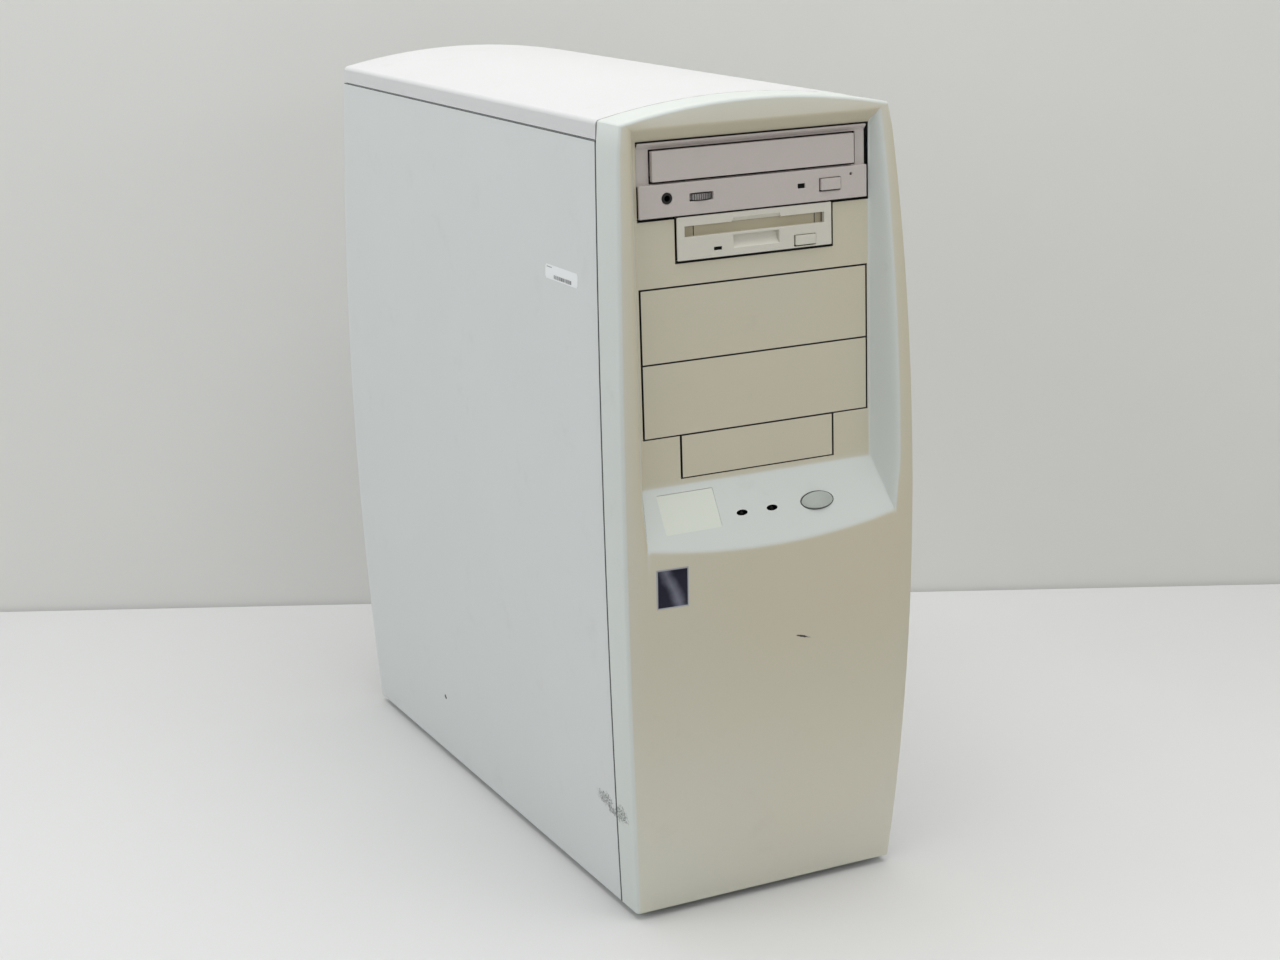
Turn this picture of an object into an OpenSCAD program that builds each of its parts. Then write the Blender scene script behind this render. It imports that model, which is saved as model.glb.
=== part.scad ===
// Mid tower computer of the late 1990s, as separate pieces that come apart.
// X runs to the right seen from the front, the front faces -Y and Z is up.
// Inside the modules z = 0 is the bottom edge of the case walls and y = 0 is
// where the front bezel meets the top cover; place() puts that on its feet,
// with the origin under the middle of the whole machine.

/* [Case] */
// Height of the case walls at their side edges
case_h = 474; // [466:1:510]
// Width of the case along its top and bottom edges
case_w = 176; // [174:1:196]
// How far each side bows outward at mid height
side_bow = 9; // [5:0.5:13]
// Rise of the arched top above its side edges
top_rise = 9.5; // [6:0.5:13]
// Depth of the metal case behind the front bezel
case_d = 421; // [412:1:450]
// Thickness of the painted steel covers
cover_t = 1.2; // [0.8:0.1:1.6]
// Height of the top cover's side flange
lid_flange = 10.7; // [8:0.1:11]
// Thickness of the chassis sheet metal
steel_t = 1; // [0.8:0.1:1.2]
// Height of the feet below the case walls
foot_h = 4.5; // [3:0.5:12]
// Radius of a foot
foot_r = 13; // [8:0.5:16]
// Radius of a thumbscrew head
thumb_r = 5.5; // [4.5:0.25:5.75]
// Length of a thumbscrew head
thumb_l = 7; // [5:0.5:10]

/* [Bezel] */
// How far the bezel stands forward of the case at its foot
bezel_foot = 23; // [20:0.5:26]
// How far the bezel stands forward of the case at its head
bezel_head = 28; // [26:0.5:31]
// How far the front bulges forward at mid height
front_bow = 19; // [14:0.5:22]
// Radius of the long edges between the top and the sides
edge_r = 3.4; // [3.3:0.1:5]
// How far the side edge of the bezel follows that bulge
seam_bow = 13; // [8:0.5:16]
// Radius of the crown across the front, seen from above
crown_r = 764; // [600:4:1200]
// Wall thickness of the bezel
bezel_t = 2.8; // [2.2:0.1:3.2]

/* [Drive recess] */
// How far the recess floor lies forward of the case
floor_y = 22; // [20:0.5:24]
// Width of the recess floor
recess_w = 153; // [151:0.5:158]
// Sideways spread of the recess walls for each millimetre of depth
recess_flare = 0.5; // [0.2:0.05:0.6]
// Rise of the recess roof for each millimetre of depth
recess_rise = 1.07; // [0.6:0.01:1.2]
// Height above the head of the shelf where the recess starts to narrow
pinch_rise = 5; // [0:0.5:10]
// Narrowing of each recess wall for each millimetre further down
pinch = 0.096; // [0:0.004:0.12]
// Steepness of the control shelf in degrees
shelf_angle = 59.7; // [56:0.1:64]
// Distance from the lowest bay down to the control shelf
shelf_drop = 3.7; // [2:0.1:6]

/* [Control shelf] */
// Distance down the slope to the middle of the lamps and the button
control_down = 22.2; // [18:0.1:26]
// Sideways place of the power button
button_x = 32.9; // [28:0.1:50]
// Width of the power button
button_w = 21; // [14:0.5:24]
// Height of the power button along the slope
button_h = 10; // [8:0.5:14]
// Travel of the power button
button_travel = 2.5; // [1.5:0.1:3.5]
// Sideways place of the left lamp
lamp_x = -17.5; // [-20:0.1:-14]
// Distance between the two lamps
lamp_pitch = 20; // [12:0.1:24]
// Width of a lamp hole
lamp_w = 6.8; // [5:0.1:8]
// Height of a lamp hole along the slope
lamp_h = 3.3; // [3.2:0.1:5]
// Left edge of the name plate
plate_x = -69; // [-71:0.1:-66]
// Width of the name plate
plate_w = 37; // [24:0.5:42]
// Height of the name plate along the slope
plate_h = 24.5; // [18:0.5:28]

/* [Drive bays] */
// Distance from the case's top edge down to the top of the bays
bay_drop = 11.4; // [11.4:0.1:16]
// Width of a 5.25 inch bay
bay5_w = 149; // [148.6:0.1:150]
// Height of a 5.25 inch bay
bay5_h = 43.4; // [43:0.1:44]
// Width of a 3.5 inch bay
bay3_w = 101.6; // [101.2:0.1:103]
// Height of a 3.5 inch bay
bay3_h = 25.8; // [25.6:0.1:26.6]
// Height of the plain strip between the floppy drive and the bay blanks
bay_web = 14.1; // [8:0.1:16]
// Gap around a drive front or a bay blank
bay_gap = 0.5; // [0.3:0.05:0.8]

/* [CD drive] */
// Width of the drive case
cd_w = 146; // [145:0.1:146.4]
// Height of the drive case
cd_h = 41.3; // [40.6:0.1:41.6]
// Depth of the drive case
cd_d = 198; // [190:1:205]
// Width of the tray front
tray_front_w = 130.6; // [128:0.1:133]
// Height of the tray front
tray_front_h = 17.2; // [15:0.1:18]
// Travel of the tray
tray_travel = 138; // [110:1:140]
// Radius of the disc well in the tray
disc_r = 60.5; // [60.2:0.1:61.5]
// Radius of the volume wheel
wheel_r = 9.5; // [8:0.1:10]
// Radius of the headphone socket's bore
phone_r = 1.8; // [1.75:0.05:1.9]
// Width of the eject button
cd_button_w = 13; // [9:0.1:14]
// Height of the eject button
cd_button_h = 6.6; // [5:0.1:7.4]
// Travel of the eject button
cd_button_travel = 1.2; // [0.8:0.1:1.5]

/* [Floppy drive] */
// Width of the drive case
fd_w = 100.8; // [99:0.1:101]
// Height of the drive case
fd_h = 24.6; // [24:0.1:25]
// Depth of the drive case
fd_d = 146; // [140:1:150]
// Width of the disk slot
slot_w = 91; // [90.4:0.1:92]
// Height of the disk slot
slot_h = 6.2; // [5.8:0.1:6.6]
// Width of the eject button
fd_button_w = 13.2; // [9:0.1:14]
// Height of the eject button
fd_button_h = 5.6; // [4.6:0.1:6.2]
// Travel of the eject button when a disk pushes it out
fd_button_travel = 5; // [3:0.25:6]

/* [Power supply] */
// Width of the power supply
psu_w = 150; // [146:0.5:150]
// Height of the power supply
psu_h = 86; // [84:0.5:88]
// Depth of the power supply
psu_d = 140; // [130:1:150]
// Side of the square fan
fan_w = 80; // [80:0.5:81]
// Thickness of the fan
fan_d = 25; // [20:0.5:26]

/* [Main board] */
// Height of the board, along the rear edge
board_h = 305; // [290:1:306]
// Depth of the board, towards the front
board_d = 244; // [220:1:245]
// Thickness of the board
board_t = 1.6; // [1.4:0.1:2]
// Height of the board's lower edge above the case's bottom edge
board_z = 48; // [44:1:52]
// Length of the board standoffs
standoff = 6; // [5:0.5:6.5]
// Distance between expansion slots
slot_pitch = 20.32; // [20:0.02:20.4]
// Number of expansion slots
slot_count = 7; // [5:1:7]

/* [Fits] */
// Gap along the seams between covers and bezel
seam_gap = 0.6; // [0.4:0.1:1]
// Gap between sheets that slide past each other
slide_gap = 0.3; // [0.2:0.05:0.5]
// Radial clearance of a shaft in its hole
shaft_gap = 0.08; // [0.04:0.01:0.1]

/* [Hidden] */
$fn = 64;
arc_fn = 720;
half_w = case_w / 2;
mid_z = case_h / 2;
wide = half_w + side_bow;
full_h = case_h + top_rise;

function arc_r(chord, rise) = (chord * chord / 4 + rise * rise) / (2 * rise);
function mid(a, b) = (a + b) / 2;

side_r = arc_r(case_h, side_bow);
top_r = arc_r(case_w, top_rise);
seam_r = arc_r(case_h, seam_bow);
seam_cy = seam_r - seam_bow;

// Middle of the round edge: inside both the side's circle and the top's
edge_base = [side_r - wide, full_h - top_r - mid_z];
edge_span = norm(edge_base);
edge_from_side = side_r - edge_r;
edge_from_top = top_r - edge_r;
edge_along = (pow(edge_from_side, 2) - pow(edge_from_top, 2) + pow(edge_span, 2)) / (2 * edge_span);
edge_off = sqrt(pow(edge_from_side, 2) - pow(edge_along, 2));
edge_x = wide - side_r + (edge_base[0] * edge_along - edge_base[1] * edge_off) / edge_span;
edge_z = mid_z + (edge_base[1] * edge_along + edge_base[0] * edge_off) / edge_span;
edge_tilt = atan2(edge_z - mid_z, edge_x - wide + side_r);
edge_head = atan2(edge_z - full_h + top_r, edge_x);
edge_lap = 0.01;

// The front arc runs from the bezel's foot to its head.
lean = bezel_foot - bezel_head;
front_chord = sqrt(lean * lean + case_h * case_h);
front_r = arc_r(front_chord, front_bow);
front_cy = case_h / front_chord * (front_r - front_bow) - mid(bezel_foot, bezel_head);
front_cz = mid_z - lean / front_chord * (front_r - front_bow);
front_reach = front_r - front_cy;
crown_in = 0.3;
crown_cy = crown_r - front_reach - crown_in;
rear_reach = case_d + thumb_l;
centre_y = (front_reach - rear_reach) / 2;

// Bays, from the top down
cd_z1 = case_h - bay_drop;
cd_z0 = cd_z1 - bay5_h;
fd_z0 = cd_z0 - bay3_h;
blank_z2 = fd_z0 - bay_web;
blank_z1 = blank_z2 - bay5_h;
blank_z0 = blank_z1 - bay5_h;
small_z0 = blank_z0 - bay3_h;
shelf_z = small_z0 - shelf_drop;
recess_top = cd_z1 + bay_gap;
face_y = -floor_y;
cage_z0 = small_z0 - 4;
shelf_slope = tan(shelf_angle);

// Chassis planes
chassis_x = half_w - cover_t - 2.8;
pan_z = slide_gap + cover_t;
pan_top = pan_z + steel_t;
frame_y = 1;
frame_back = frame_y + steel_t;
roof_z = case_h - lid_flange + seam_gap / 2;
rear_y1 = case_d - cover_t - slide_gap;
rear_y0 = rear_y1 - steel_t;
flange_x = psu_w / 2 + 1;
flange_rise = 12;
tray_x1 = chassis_x - steel_t - slide_gap;
tray_x0 = tray_x1 - steel_t;
board_x1 = tray_x0 - standoff;
board_x = board_x1 - board_t;

// The pocket in the rear panel that holds the ports and the card slots
pocket_in = 12;
pocket_y0 = rear_y0 - pocket_in;
pocket_y1 = pocket_y0 + steel_t;
pocket_x0 = -37;
pocket_x1 = board_x1 + 0.3;
pocket_z0 = board_z + 2;
pocket_z1 = board_z + board_h + 15;
ledge_y = pocket_y1 + 5;
board_y1 = pocket_y0 - 2.5;
board_y0 = board_y1 - board_d;
port_w = 44.45;
port_h = 158.75;
port_x1 = board_x + 1;
port_z0 = pocket_z1 - 4 - port_h;
slot_open_w = 103;
slot_open_h = 13.5;
slot_x1 = board_x - 4;
slot_z0 = board_z + 16;
bracket_t = 0.9;
bracket_h = 18.4;
card_t = 1.6;
video_slot = slot_count - 1;
sound_slot = 3;

// Power supply, hung below the top frame
psu_z1 = roof_z - 4;
psu_z0 = psu_z1 - psu_h;
psu_y1 = rear_y0;
psu_y0 = psu_y1 - psu_d;
psu_mid_z = mid(psu_z0, psu_z1);
psu_fan_x = -27;
fan_r = fan_w / 2 - 2;
hub_r = 17;
inlet_x = 47;
inlet_z = psu_z1 - 25;
inlet_w = 24.2;
inlet_h = 16.4;
inlet_deep = 14;
inlet_wall = 1.9;
selector_z = psu_z0 + 26;
selector_h = 6;
slider_travel = 5;

// CD drive
cd_mid = mid(cd_z0, cd_z1);
cd_low = cd_mid - cd_h / 2;
cd_high = cd_mid + cd_h / 2;
cd_front_h = bay5_h - 2 * bay_gap;
cd_front_w = bay5_w - 2 * bay_gap;
cd_proud = 2;
cd_face = face_y - cd_proud;
cd_back = face_y + 4;
cd_y1 = cd_back + cd_d;
cd_wall = 1;
cd_plug_x = -36;
cd_plug_w = 52;
cd_plug_z = cd_low + 11;
tray_z0 = cd_mid - 0.8;
tray_front_z1 = tray_z0 + tray_front_h;
step_z = tray_z0 - 1.6;
step_in = 3;
tray_gap = 0.6;
tray_plate_z0 = tray_z0 + 2.5;
tray_plate_z1 = tray_plate_z0 + 6;
tray_w = tray_front_w - 2.4;
tray_len = tray_travel + 12;
disc_y = cd_back + 8 + disc_r;
well = 2.4;
jack_x = -56.4;
jack_z = cd_mid - 10.6;
wheel_x = -34.5;
wheel_z = cd_mid - 11.4;
wheel_t = 3.2;
wheel_y = cd_face - 0.8 + wheel_r;
cd_button_x = 49.4;
cd_button_z = cd_mid - 11.6;
cd_lamp_x = 30.3;
cd_lamp_z = cd_mid - 11.3;
pin_x = 63.4;
pin_z = cd_mid - 7.1;
deck_floor = cd_low + 0.9;
deck_top = deck_floor + 2;
spindle_r = 1.2;
rod_r = 1.5;
rod_x = 22;

// Floppy drive
fd_mid = fd_z0 + bay3_h / 2;
fd_low = fd_mid - fd_h / 2;
fd_front_w = fd_w - 0.2;
fd_front_h = bay3_h - 2 * bay_gap;
fd_face = face_y - 1.5;
fd_back = face_y + 4;
fd_y1 = fd_back + fd_d;
fd_plug_x = -12;
fd_plug_w = 46;
fd_plug_z = fd_low + 9;
hd_plug_x = -12;
plug_h = 10;
plug_gap = 0.3;
disk_z = fd_mid + 3.9;
door_t = 1.2;
door_y = fd_back - 2.2;
fd_hollow = 3.6;
door_pin_r = 0.8;
door_top = disk_z + slot_h / 2 + 1;
fd_button_x = fd_front_w / 2 - 17.6;
fd_button_z = fd_mid - 7.9;
fd_lamp_x = 25.9 - fd_front_w / 2;
fd_lamp_z = fd_mid - 7.4;
scoop_x = 0.5;
scoop_w = 30;
scoop_r = 8;
scoop_in = 2.8;

// ---- Shared shapes ----

module place() {
    translate([0, centre_y, foot_h]) children();
}

// A block between two corners, given as [low, high] along each axis
module span(x, y, z) {
    translate([x[0], y[0], z[0]]) cube([x[1] - x[0], y[1] - y[0], z[1] - z[0]]);
}

// A flat shape in (y, z), carried along x
module along_x(x) {
    translate([x[0], 0, 0]) rotate([90, 0, 90]) linear_extrude(x[1] - x[0]) children();
}

// A flat shape in (x, z), carried along y
module along_y(y) {
    translate([0, y[1], 0]) rotate([90, 0, 0]) linear_extrude(y[1] - y[0]) children();
}

// Rods along each axis
module rod_x(x, y, z, r) {
    translate([x[0], y, z]) rotate([0, 90, 0]) cylinder(r = r, h = x[1] - x[0]);
}

module rod_y(x, y, z, r) {
    translate([x, y[0], z]) rotate([-90, 0, 0]) cylinder(r = r, h = y[1] - y[0]);
}

module rod_z(x, y, z, r) {
    translate([x, y, z[0]]) cylinder(r = r, h = z[1] - z[0]);
}

module both_sides() {
    children();
    mirror([1, 0, 0]) children();
}

module oval(w, h) {
    points = 48;
    polygon([for (i = [0 : points - 1]) [w / 2 * cos(360 * i / points), h / 2 * sin(360 * i / points)]]);
}

// A flat rectangle with round corners, about its own middle
module round_rect(w, h, r) {
    union() {
        square([w - 2 * r, h], center = true);
        square([w, h - 2 * r], center = true);
        for (x = [r - w / 2, w / 2 - r], z = [r - h / 2, h / 2 - r]) {
            translate([x, z]) circle(r);
        }
    }
}

// ---- The outer form ----

// What a round edge takes off the sharp corner between the side's arc and the top's
module edge_waste(inset) {
    reach = 3 * edge_r;
    a = [cos(edge_tilt), sin(edge_tilt)];
    b = [cos(edge_head), sin(edge_head)];
    translate([edge_x, edge_z]) difference() {
        polygon([[0, 0], reach * a, reach * (a + b), reach * b]);
        circle(r = edge_r + edge_lap - inset);
    }
}

// Front view of the whole case: bowed sides, arched top, round edges, flat bottom
module outline(inset = 0) {
    difference() {
        intersection() {
            translate([wide - side_r, mid_z]) circle(r = side_r - inset, $fn = arc_fn);
            translate([side_r - wide, mid_z]) circle(r = side_r - inset, $fn = arc_fn);
            translate([0, full_h - top_r]) circle(r = top_r - inset, $fn = arc_fn);
            translate([-wide, inset]) square([2 * wide, full_h]);
        }
        both_sides() edge_waste(inset);
    }
}

// Everything behind the curved seam between bezel and covers
module behind_seam(gap) {
    translate([-wide - 1, seam_cy, mid_z]) rotate([0, 90, 0])
        cylinder(r = seam_r + gap, h = 2 * wide + 2, $fn = arc_fn);
}

// The solid front of the machine, or the same form inset by a wall
module front_form(inset = 0) {
    intersection() {
        along_y([-front_reach - 5, 5]) outline(inset);
        translate([-wide, front_cy, front_cz]) rotate([0, 90, 0])
            cylinder(r = front_r - inset, h = 2 * wide, $fn = arc_fn);
        translate([0, crown_cy, 0]) cylinder(r = crown_r - inset, h = full_h, $fn = arc_fn);
    }
}

// Everything inward of one recess wall's lower, narrowing part
module pinched_side(grow) {
    turn = atan(recess_flare);
    tip = atan(pinch * cos(turn));
    reach = 2 * full_h;
    translate([recess_w / 2, face_y, shelf_z + pinch_rise]) rotate([0, tip, turn])
        translate([-reach, -reach / 2, -reach / 2]) cube([reach + grow, reach, reach]);
}

// The drafted hollow for the drives; grow turns it into the walls around it
module recess(grow = 0) {
    reach = 60;
    side = recess_w / 2 + grow * sqrt(1 + pow(recess_flare, 2));
    roof = recess_top + grow * sqrt(1 + pow(recess_rise, 2));
    sill = shelf_z - grow * sqrt(1 + pow(shelf_slope, 2));
    y0 = face_y - reach;
    y1 = face_y + grow;
    x0 = side + recess_flare * reach;
    x1 = side - recess_flare * grow;
    intersection() {
        linear_extrude(full_h) polygon([[-x0, y0], [x0, y0], [x1, y1], [-x1, y1]]);
        along_x([-wide, wide]) polygon([
            [y0, sill - shelf_slope * reach],
            [y1, sill + shelf_slope * grow],
            [y1, roof - recess_rise * grow],
            [y0, roof + recess_rise * reach]
        ]);
        pinched_side(grow);
        mirror([1, 0, 0]) pinched_side(grow);
    }
}

// Puts a shape on the control shelf: x sideways, y up the slope, z out of it
module on_shelf(x, down) {
    translate([x, face_y, shelf_z]) rotate([shelf_angle, 0, 0]) translate([0, -down, 0]) children();
}

// ---- Bezel and what sits on it ----

module bay_openings() {
    y = [face_y - 1, face_y + bezel_t + 1];
    span([-bay5_w / 2, bay5_w / 2], y, [cd_z0, cd_z1]);
    span([-fd_front_w / 2 - bay_gap, fd_front_w / 2 + bay_gap], y, [fd_z0, cd_z0 + 1]);
    span([-bay5_w / 2, bay5_w / 2], y, [blank_z0, blank_z2]);
    span([-bay3_w / 2, bay3_w / 2], y, [small_z0, blank_z0 + 1]);
}

module shelf_openings() {
    deep = 3 * bezel_t;
    on_shelf(button_x, control_down) translate([0, 0, -deep]) linear_extrude(2 * deep)
        oval(button_w + 2 * bay_gap, button_h + 2 * bay_gap);
    for (i = [0, 1]) {
        on_shelf(lamp_x + i * lamp_pitch, control_down) translate([0, 0, -deep])
            linear_extrude(2 * deep) oval(lamp_w, lamp_h);
    }
    on_shelf(plate_x + plate_w / 2, plate_down) translate([0, 0, -plate_in]) linear_extrude(deep)
        square([plate_w, plate_h], center = true);
}

// Ribs inside the bezel that stand on the front frame
module bezel_ribs() {
    rib_t = 2.4;
    rib_h = 12;
    rib_x = chassis_x - 4;
    both_sides() for (z = [40, mid_z - 60, case_h - 40]) {
        intersection() {
            front_form(bezel_t / 2);
            span([rib_x - rib_t, rib_x], [-front_reach, frame_y], [z, z + rib_h]);
        }
    }
}

module front_bezel() place() color("#dcdcd2") {
    difference() {
        union() {
            difference() {
                union() {
                    difference() {
                        front_form();
                        front_form(bezel_t);
                    }
                    intersection() {
                        front_form();
                        recess(bezel_t);
                    }
                }
                behind_seam(seam_gap / 2);
            }
            bezel_ribs();
        }
        recess();
        bay_openings();
        shelf_openings();
    }
}

plate_down = 16.5;
plate_in = 0.8;

module name_plate() place() color("#d8d8cc") {
    on_shelf(plate_x + plate_w / 2, plate_down) translate([0, 0, -plate_in]) linear_extrude(plate_in / 2)
        round_rect(plate_w - 0.6, plate_h - 0.6, 0.8);
}

badge_w = 20;
badge_h = 24;
badge_x = -68;
badge_z = shelf_z - 55;

// A foil sticker that follows the curve of the front
module case_badge() place() color("#3c3f55") {
    glue = 0.05;
    foil = 0.25;
    intersection() {
        difference() {
            front_form(-glue - foil);
            front_form(-glue);
        }
        along_y([-front_reach - 5, 0]) translate([badge_x, badge_z]) round_rect(badge_w, badge_h, 1.5);
    }
}

stem_r = 1.5;
button_cap = 3.2;
button_flange = 1.2;
stem_end = 17;

module power_button() place() color("#b9beb9") {
    dome_r = 28;
    on_shelf(button_x, control_down) {
        intersection() {
            translate([0, 0, -bezel_t - button_flange]) linear_extrude(2 * button_cap + bezel_t)
                oval(button_w, button_h);
            translate([0, 0, button_cap - 1 - dome_r]) sphere(r = dome_r, $fn = 96);
        }
        translate([0, 0, -bezel_t - slide_gap - button_flange]) linear_extrude(button_flange)
            oval(button_w + 3, button_h + 3);
        translate([0, 0, -stem_end]) cylinder(r = stem_r, h = stem_end - bezel_t - 1);
    }
}

// A small push switch on a bracket behind the shelf
module power_switch() place() color("#303236") {
    body = 12;
    bore_in = button_travel + 3;
    bottom = 2;
    on_shelf(button_x, control_down) difference() {
        union() {
            translate([-body / 2, -body / 2, -stem_end - bore_in - bottom]) {
                cube([body, body, bore_in + bottom + 3]);
            }
            translate([-24, -body / 2, -stem_end + 1]) cube([48, body, 2]);
            for (x = [-24, 22]) translate([x, -body / 2, -stem_end + 1]) {
                cube([2, body, stem_end - 1 - bezel_t]);
            }
        }
        translate([0, 0, -stem_end - bore_in]) cylinder(r = stem_r + shaft_gap, h = 3 * bore_in);
    }
}

module status_lamps() place() color("#46503c") {
    lamp_r = 1.5;
    for (i = [0, 1]) {
        on_shelf(lamp_x + i * lamp_pitch, control_down) {
            translate([0, 0, -bezel_t - 1]) cylinder(r = lamp_r, h = 2.2);
            translate([0, 0, 1.2 - bezel_t]) sphere(r = lamp_r, $fn = 48);
            translate([0, 0, -bezel_t - 5]) cylinder(r = lamp_r + 0.9, h = 5);
        }
    }
}

// A blank closes one bay: a face, a shallow box behind it and two lugs
// that hold it behind the recess floor
module bay_blank(w, z0, z1) {
    face = 2.4;
    box_deep = 12;
    wall = 2;
    lug = 1.2;
    x = w / 2 - bay_gap;
    z = [z0 + bay_gap / 2, z1 - bay_gap / 2];
    difference() {
        union() {
            span([-x, x], [face_y, face_y + face], z);
            span([-x, x], [face_y, face_y + box_deep], [z[0] + 1.5, z[1] - 1.5]);
            both_sides() blank_lug(x, face_y + bezel_t, lug, mid(z0, z1));
        }
        span([wall - x, x - wall], [face_y + face, face_y + box_deep + 1], [z[0] + 3.5, z[1] - 3.5]);
    }
}

module blank_lug(x, y, lug, z) {
    half = 5;
    translate([0, 0, z - half]) linear_extrude(2 * half)
        polygon([[x - 1, y + slide_gap], [x + lug, y + slide_gap], [x, y + 4], [x - 1, y + 4]]);
}

module bay_blank_upper() place() color("#aea98f") bay_blank(bay5_w, blank_z1, blank_z2);

module bay_blank_lower() place() color("#aea98f") bay_blank(bay5_w, blank_z0, blank_z1);

module bay_blank_small() place() color("#aea98f") bay_blank(bay3_w, small_z0, blank_z0);

// ---- Covers ----

module top_cover() place() color("#e8e8e4") {
    z0 = case_h - lid_flange + seam_gap / 2;
    intersection() {
        difference() {
            along_y([-5, case_d]) outline();
            along_y([-6, case_d - cover_t]) outline(cover_t);
        }
        span([-wide, wide], [-6, case_d], [z0, full_h + 1]);
        behind_seam(-seam_gap / 2);
    }
}

thumb_z = [110, case_h - 110];
thumb_x = mid(flange_x, half_w) - 0.5;
thumb_shank = 2;

// The left panel; the right one is its mirror image
module side_panel() {
    z1 = case_h - lid_flange - seam_gap / 2;
    hem = 10;
    difference() {
        intersection() {
            union() {
                difference() {
                    along_y([-seam_bow - 5, case_d]) outline();
                    along_y([-seam_bow - 6, case_d + 1]) outline(cover_t);
                }
                along_y([case_d - cover_t, case_d]) difference() {
                    outline();
                    translate([-flange_x, -1]) square([2 * flange_x, full_h]);
                }
                along_y([-5, case_d]) intersection() {
                    outline();
                    translate([-wide, z1 - cover_t]) square([2 * wide, cover_t]);
                }
            }
            union() {
                span([-wide, -chassis_x - slide_gap], [-seam_bow - 6, case_d], [-1, z1]);
                span([-wide, hem - half_w], [-6, case_d], [-1, cover_t]);
                span([-wide, -flange_x], [case_d - cover_t, case_d], [-1, z1]);
            }
            behind_seam(-seam_gap / 2);
        }
        for (z = thumb_z) rod_y(-thumb_x, [case_d - 2 * cover_t, case_d + 1], z, thumb_shank + shaft_gap);
    }
}

// Knurled thumbscrews that stay in the panel's rear flange
module panel_screws() {
    knurls = 18;
    groove = 0.5;
    for (z = thumb_z) translate([-thumb_x, case_d, z]) rotate([-90, 0, 0]) {
        difference() {
            cylinder(r = thumb_r, h = thumb_l);
            for (i = [0 : knurls - 1]) rotate(i * 360 / knurls) translate([thumb_r, 0, 1.5])
                cylinder(r = groove, h = thumb_l, $fn = 16);
            translate([-thumb_r, -0.6, thumb_l - 1.2]) cube([2 * thumb_r, 1.2, 2]);
        }
        translate([0, 0, -9]) cylinder(r = thumb_shank, h = 9.5);
    }
}

module left_side_panel() place() color("#c4cbce") side_panel();

module left_panel_screws() place() color("#b4b8bc") panel_screws();

module right_side_panel() place() color("#c4cbce") mirror([1, 0, 0]) side_panel();

module right_panel_screws() place() color("#b4b8bc") mirror([1, 0, 0]) panel_screws();

// ---- Chassis ----

module feet() place() color("#9a9a90") {
    taper = 1.5;
    rise = 2;
    for (x = [-half_w + 30, half_w - 30], y = [26, case_d - 34]) translate([x, y, -foot_h]) {
        difference() {
            union() {
                cylinder(r1 = foot_r - taper, r2 = foot_r, h = rise);
                translate([0, 0, rise]) cylinder(r = foot_r, h = foot_h + pan_z - rise);
            }
            translate([0, 0, -1]) cylinder(r = 4, h = 1 + rise);
        }
    }
}

module base_pan() place() color("#b8bcbe") {
    vent_l = 50;
    difference() {
        union() {
            span([-chassis_x, chassis_x], [frame_y, rear_y1], [pan_z, pan_top]);
            both_sides() span([chassis_x - steel_t, chassis_x], [frame_y, rear_y1], [pan_z, flange_rise]);
        }
        for (i = [0 : 7]) span([-vent_l / 2, vent_l / 2], [60 + 9 * i, 64 + 9 * i], [0, pan_top + 1]);
    }
}

module front_frame() place() color("#b8bcbe") {
    half5 = cd_w / 2 + 0.5;
    half3 = fd_w / 2 + 0.5;
    y = [frame_y - 1, frame_back + 1];
    inner = chassis_x - steel_t;
    difference() {
        span([-inner, inner], [frame_y, frame_back], [pan_top, roof_z]);
        span([-half5, half5], y, [cd_low - slide_gap, cd_high + slide_gap]);
        span([-half3, half3], y, [fd_low - slide_gap, cd_low]);
        for (i = [0, 1]) span([-half5, half5], y, [blank_z0 + 2 + i * bay5_h, blank_z1 - 2 + i * bay5_h]);
        span([-half3, half3], y, [small_z0 + 2, blank_z0 - 2]);
        span([-40, 60], y, [shelf_z - 55, shelf_z - 8]);
        for (i = [0 : 8], j = [0 : 6]) rod_y(-40 + 10 * i, y, 60 + 10 * j, 3, $fn = 24);
    }
}

module top_frame() place() color("#b8bcbe") {
    margin = 16;
    cross = mid(frame_y, rear_y1);
    difference() {
        union() {
            span([-chassis_x, chassis_x], [frame_y, rear_y1], [roof_z, roof_z + steel_t]);
            both_sides() span([chassis_x - steel_t, chassis_x], [frame_y, rear_y1],
                [roof_z, roof_z + 5]);
        }
        for (y = [[frame_back + margin, cross - margin], [cross + margin, rear_y1 - margin]]) {
            span([margin - chassis_x, chassis_x - margin], y, [roof_z - 1, roof_z + steel_t + 1]);
        }
    }
}

module card_openings(y) {
    for (i = [0 : slot_count - 1]) {
        z = slot_z0 + i * slot_pitch;
        span([slot_x1 - slot_open_w, slot_x1], y, [z - slot_open_h / 2, z + slot_open_h / 2]);
    }
    span([port_x1 - port_w, port_x1], y, [port_z0, port_z0 + port_h]);
}

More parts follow.
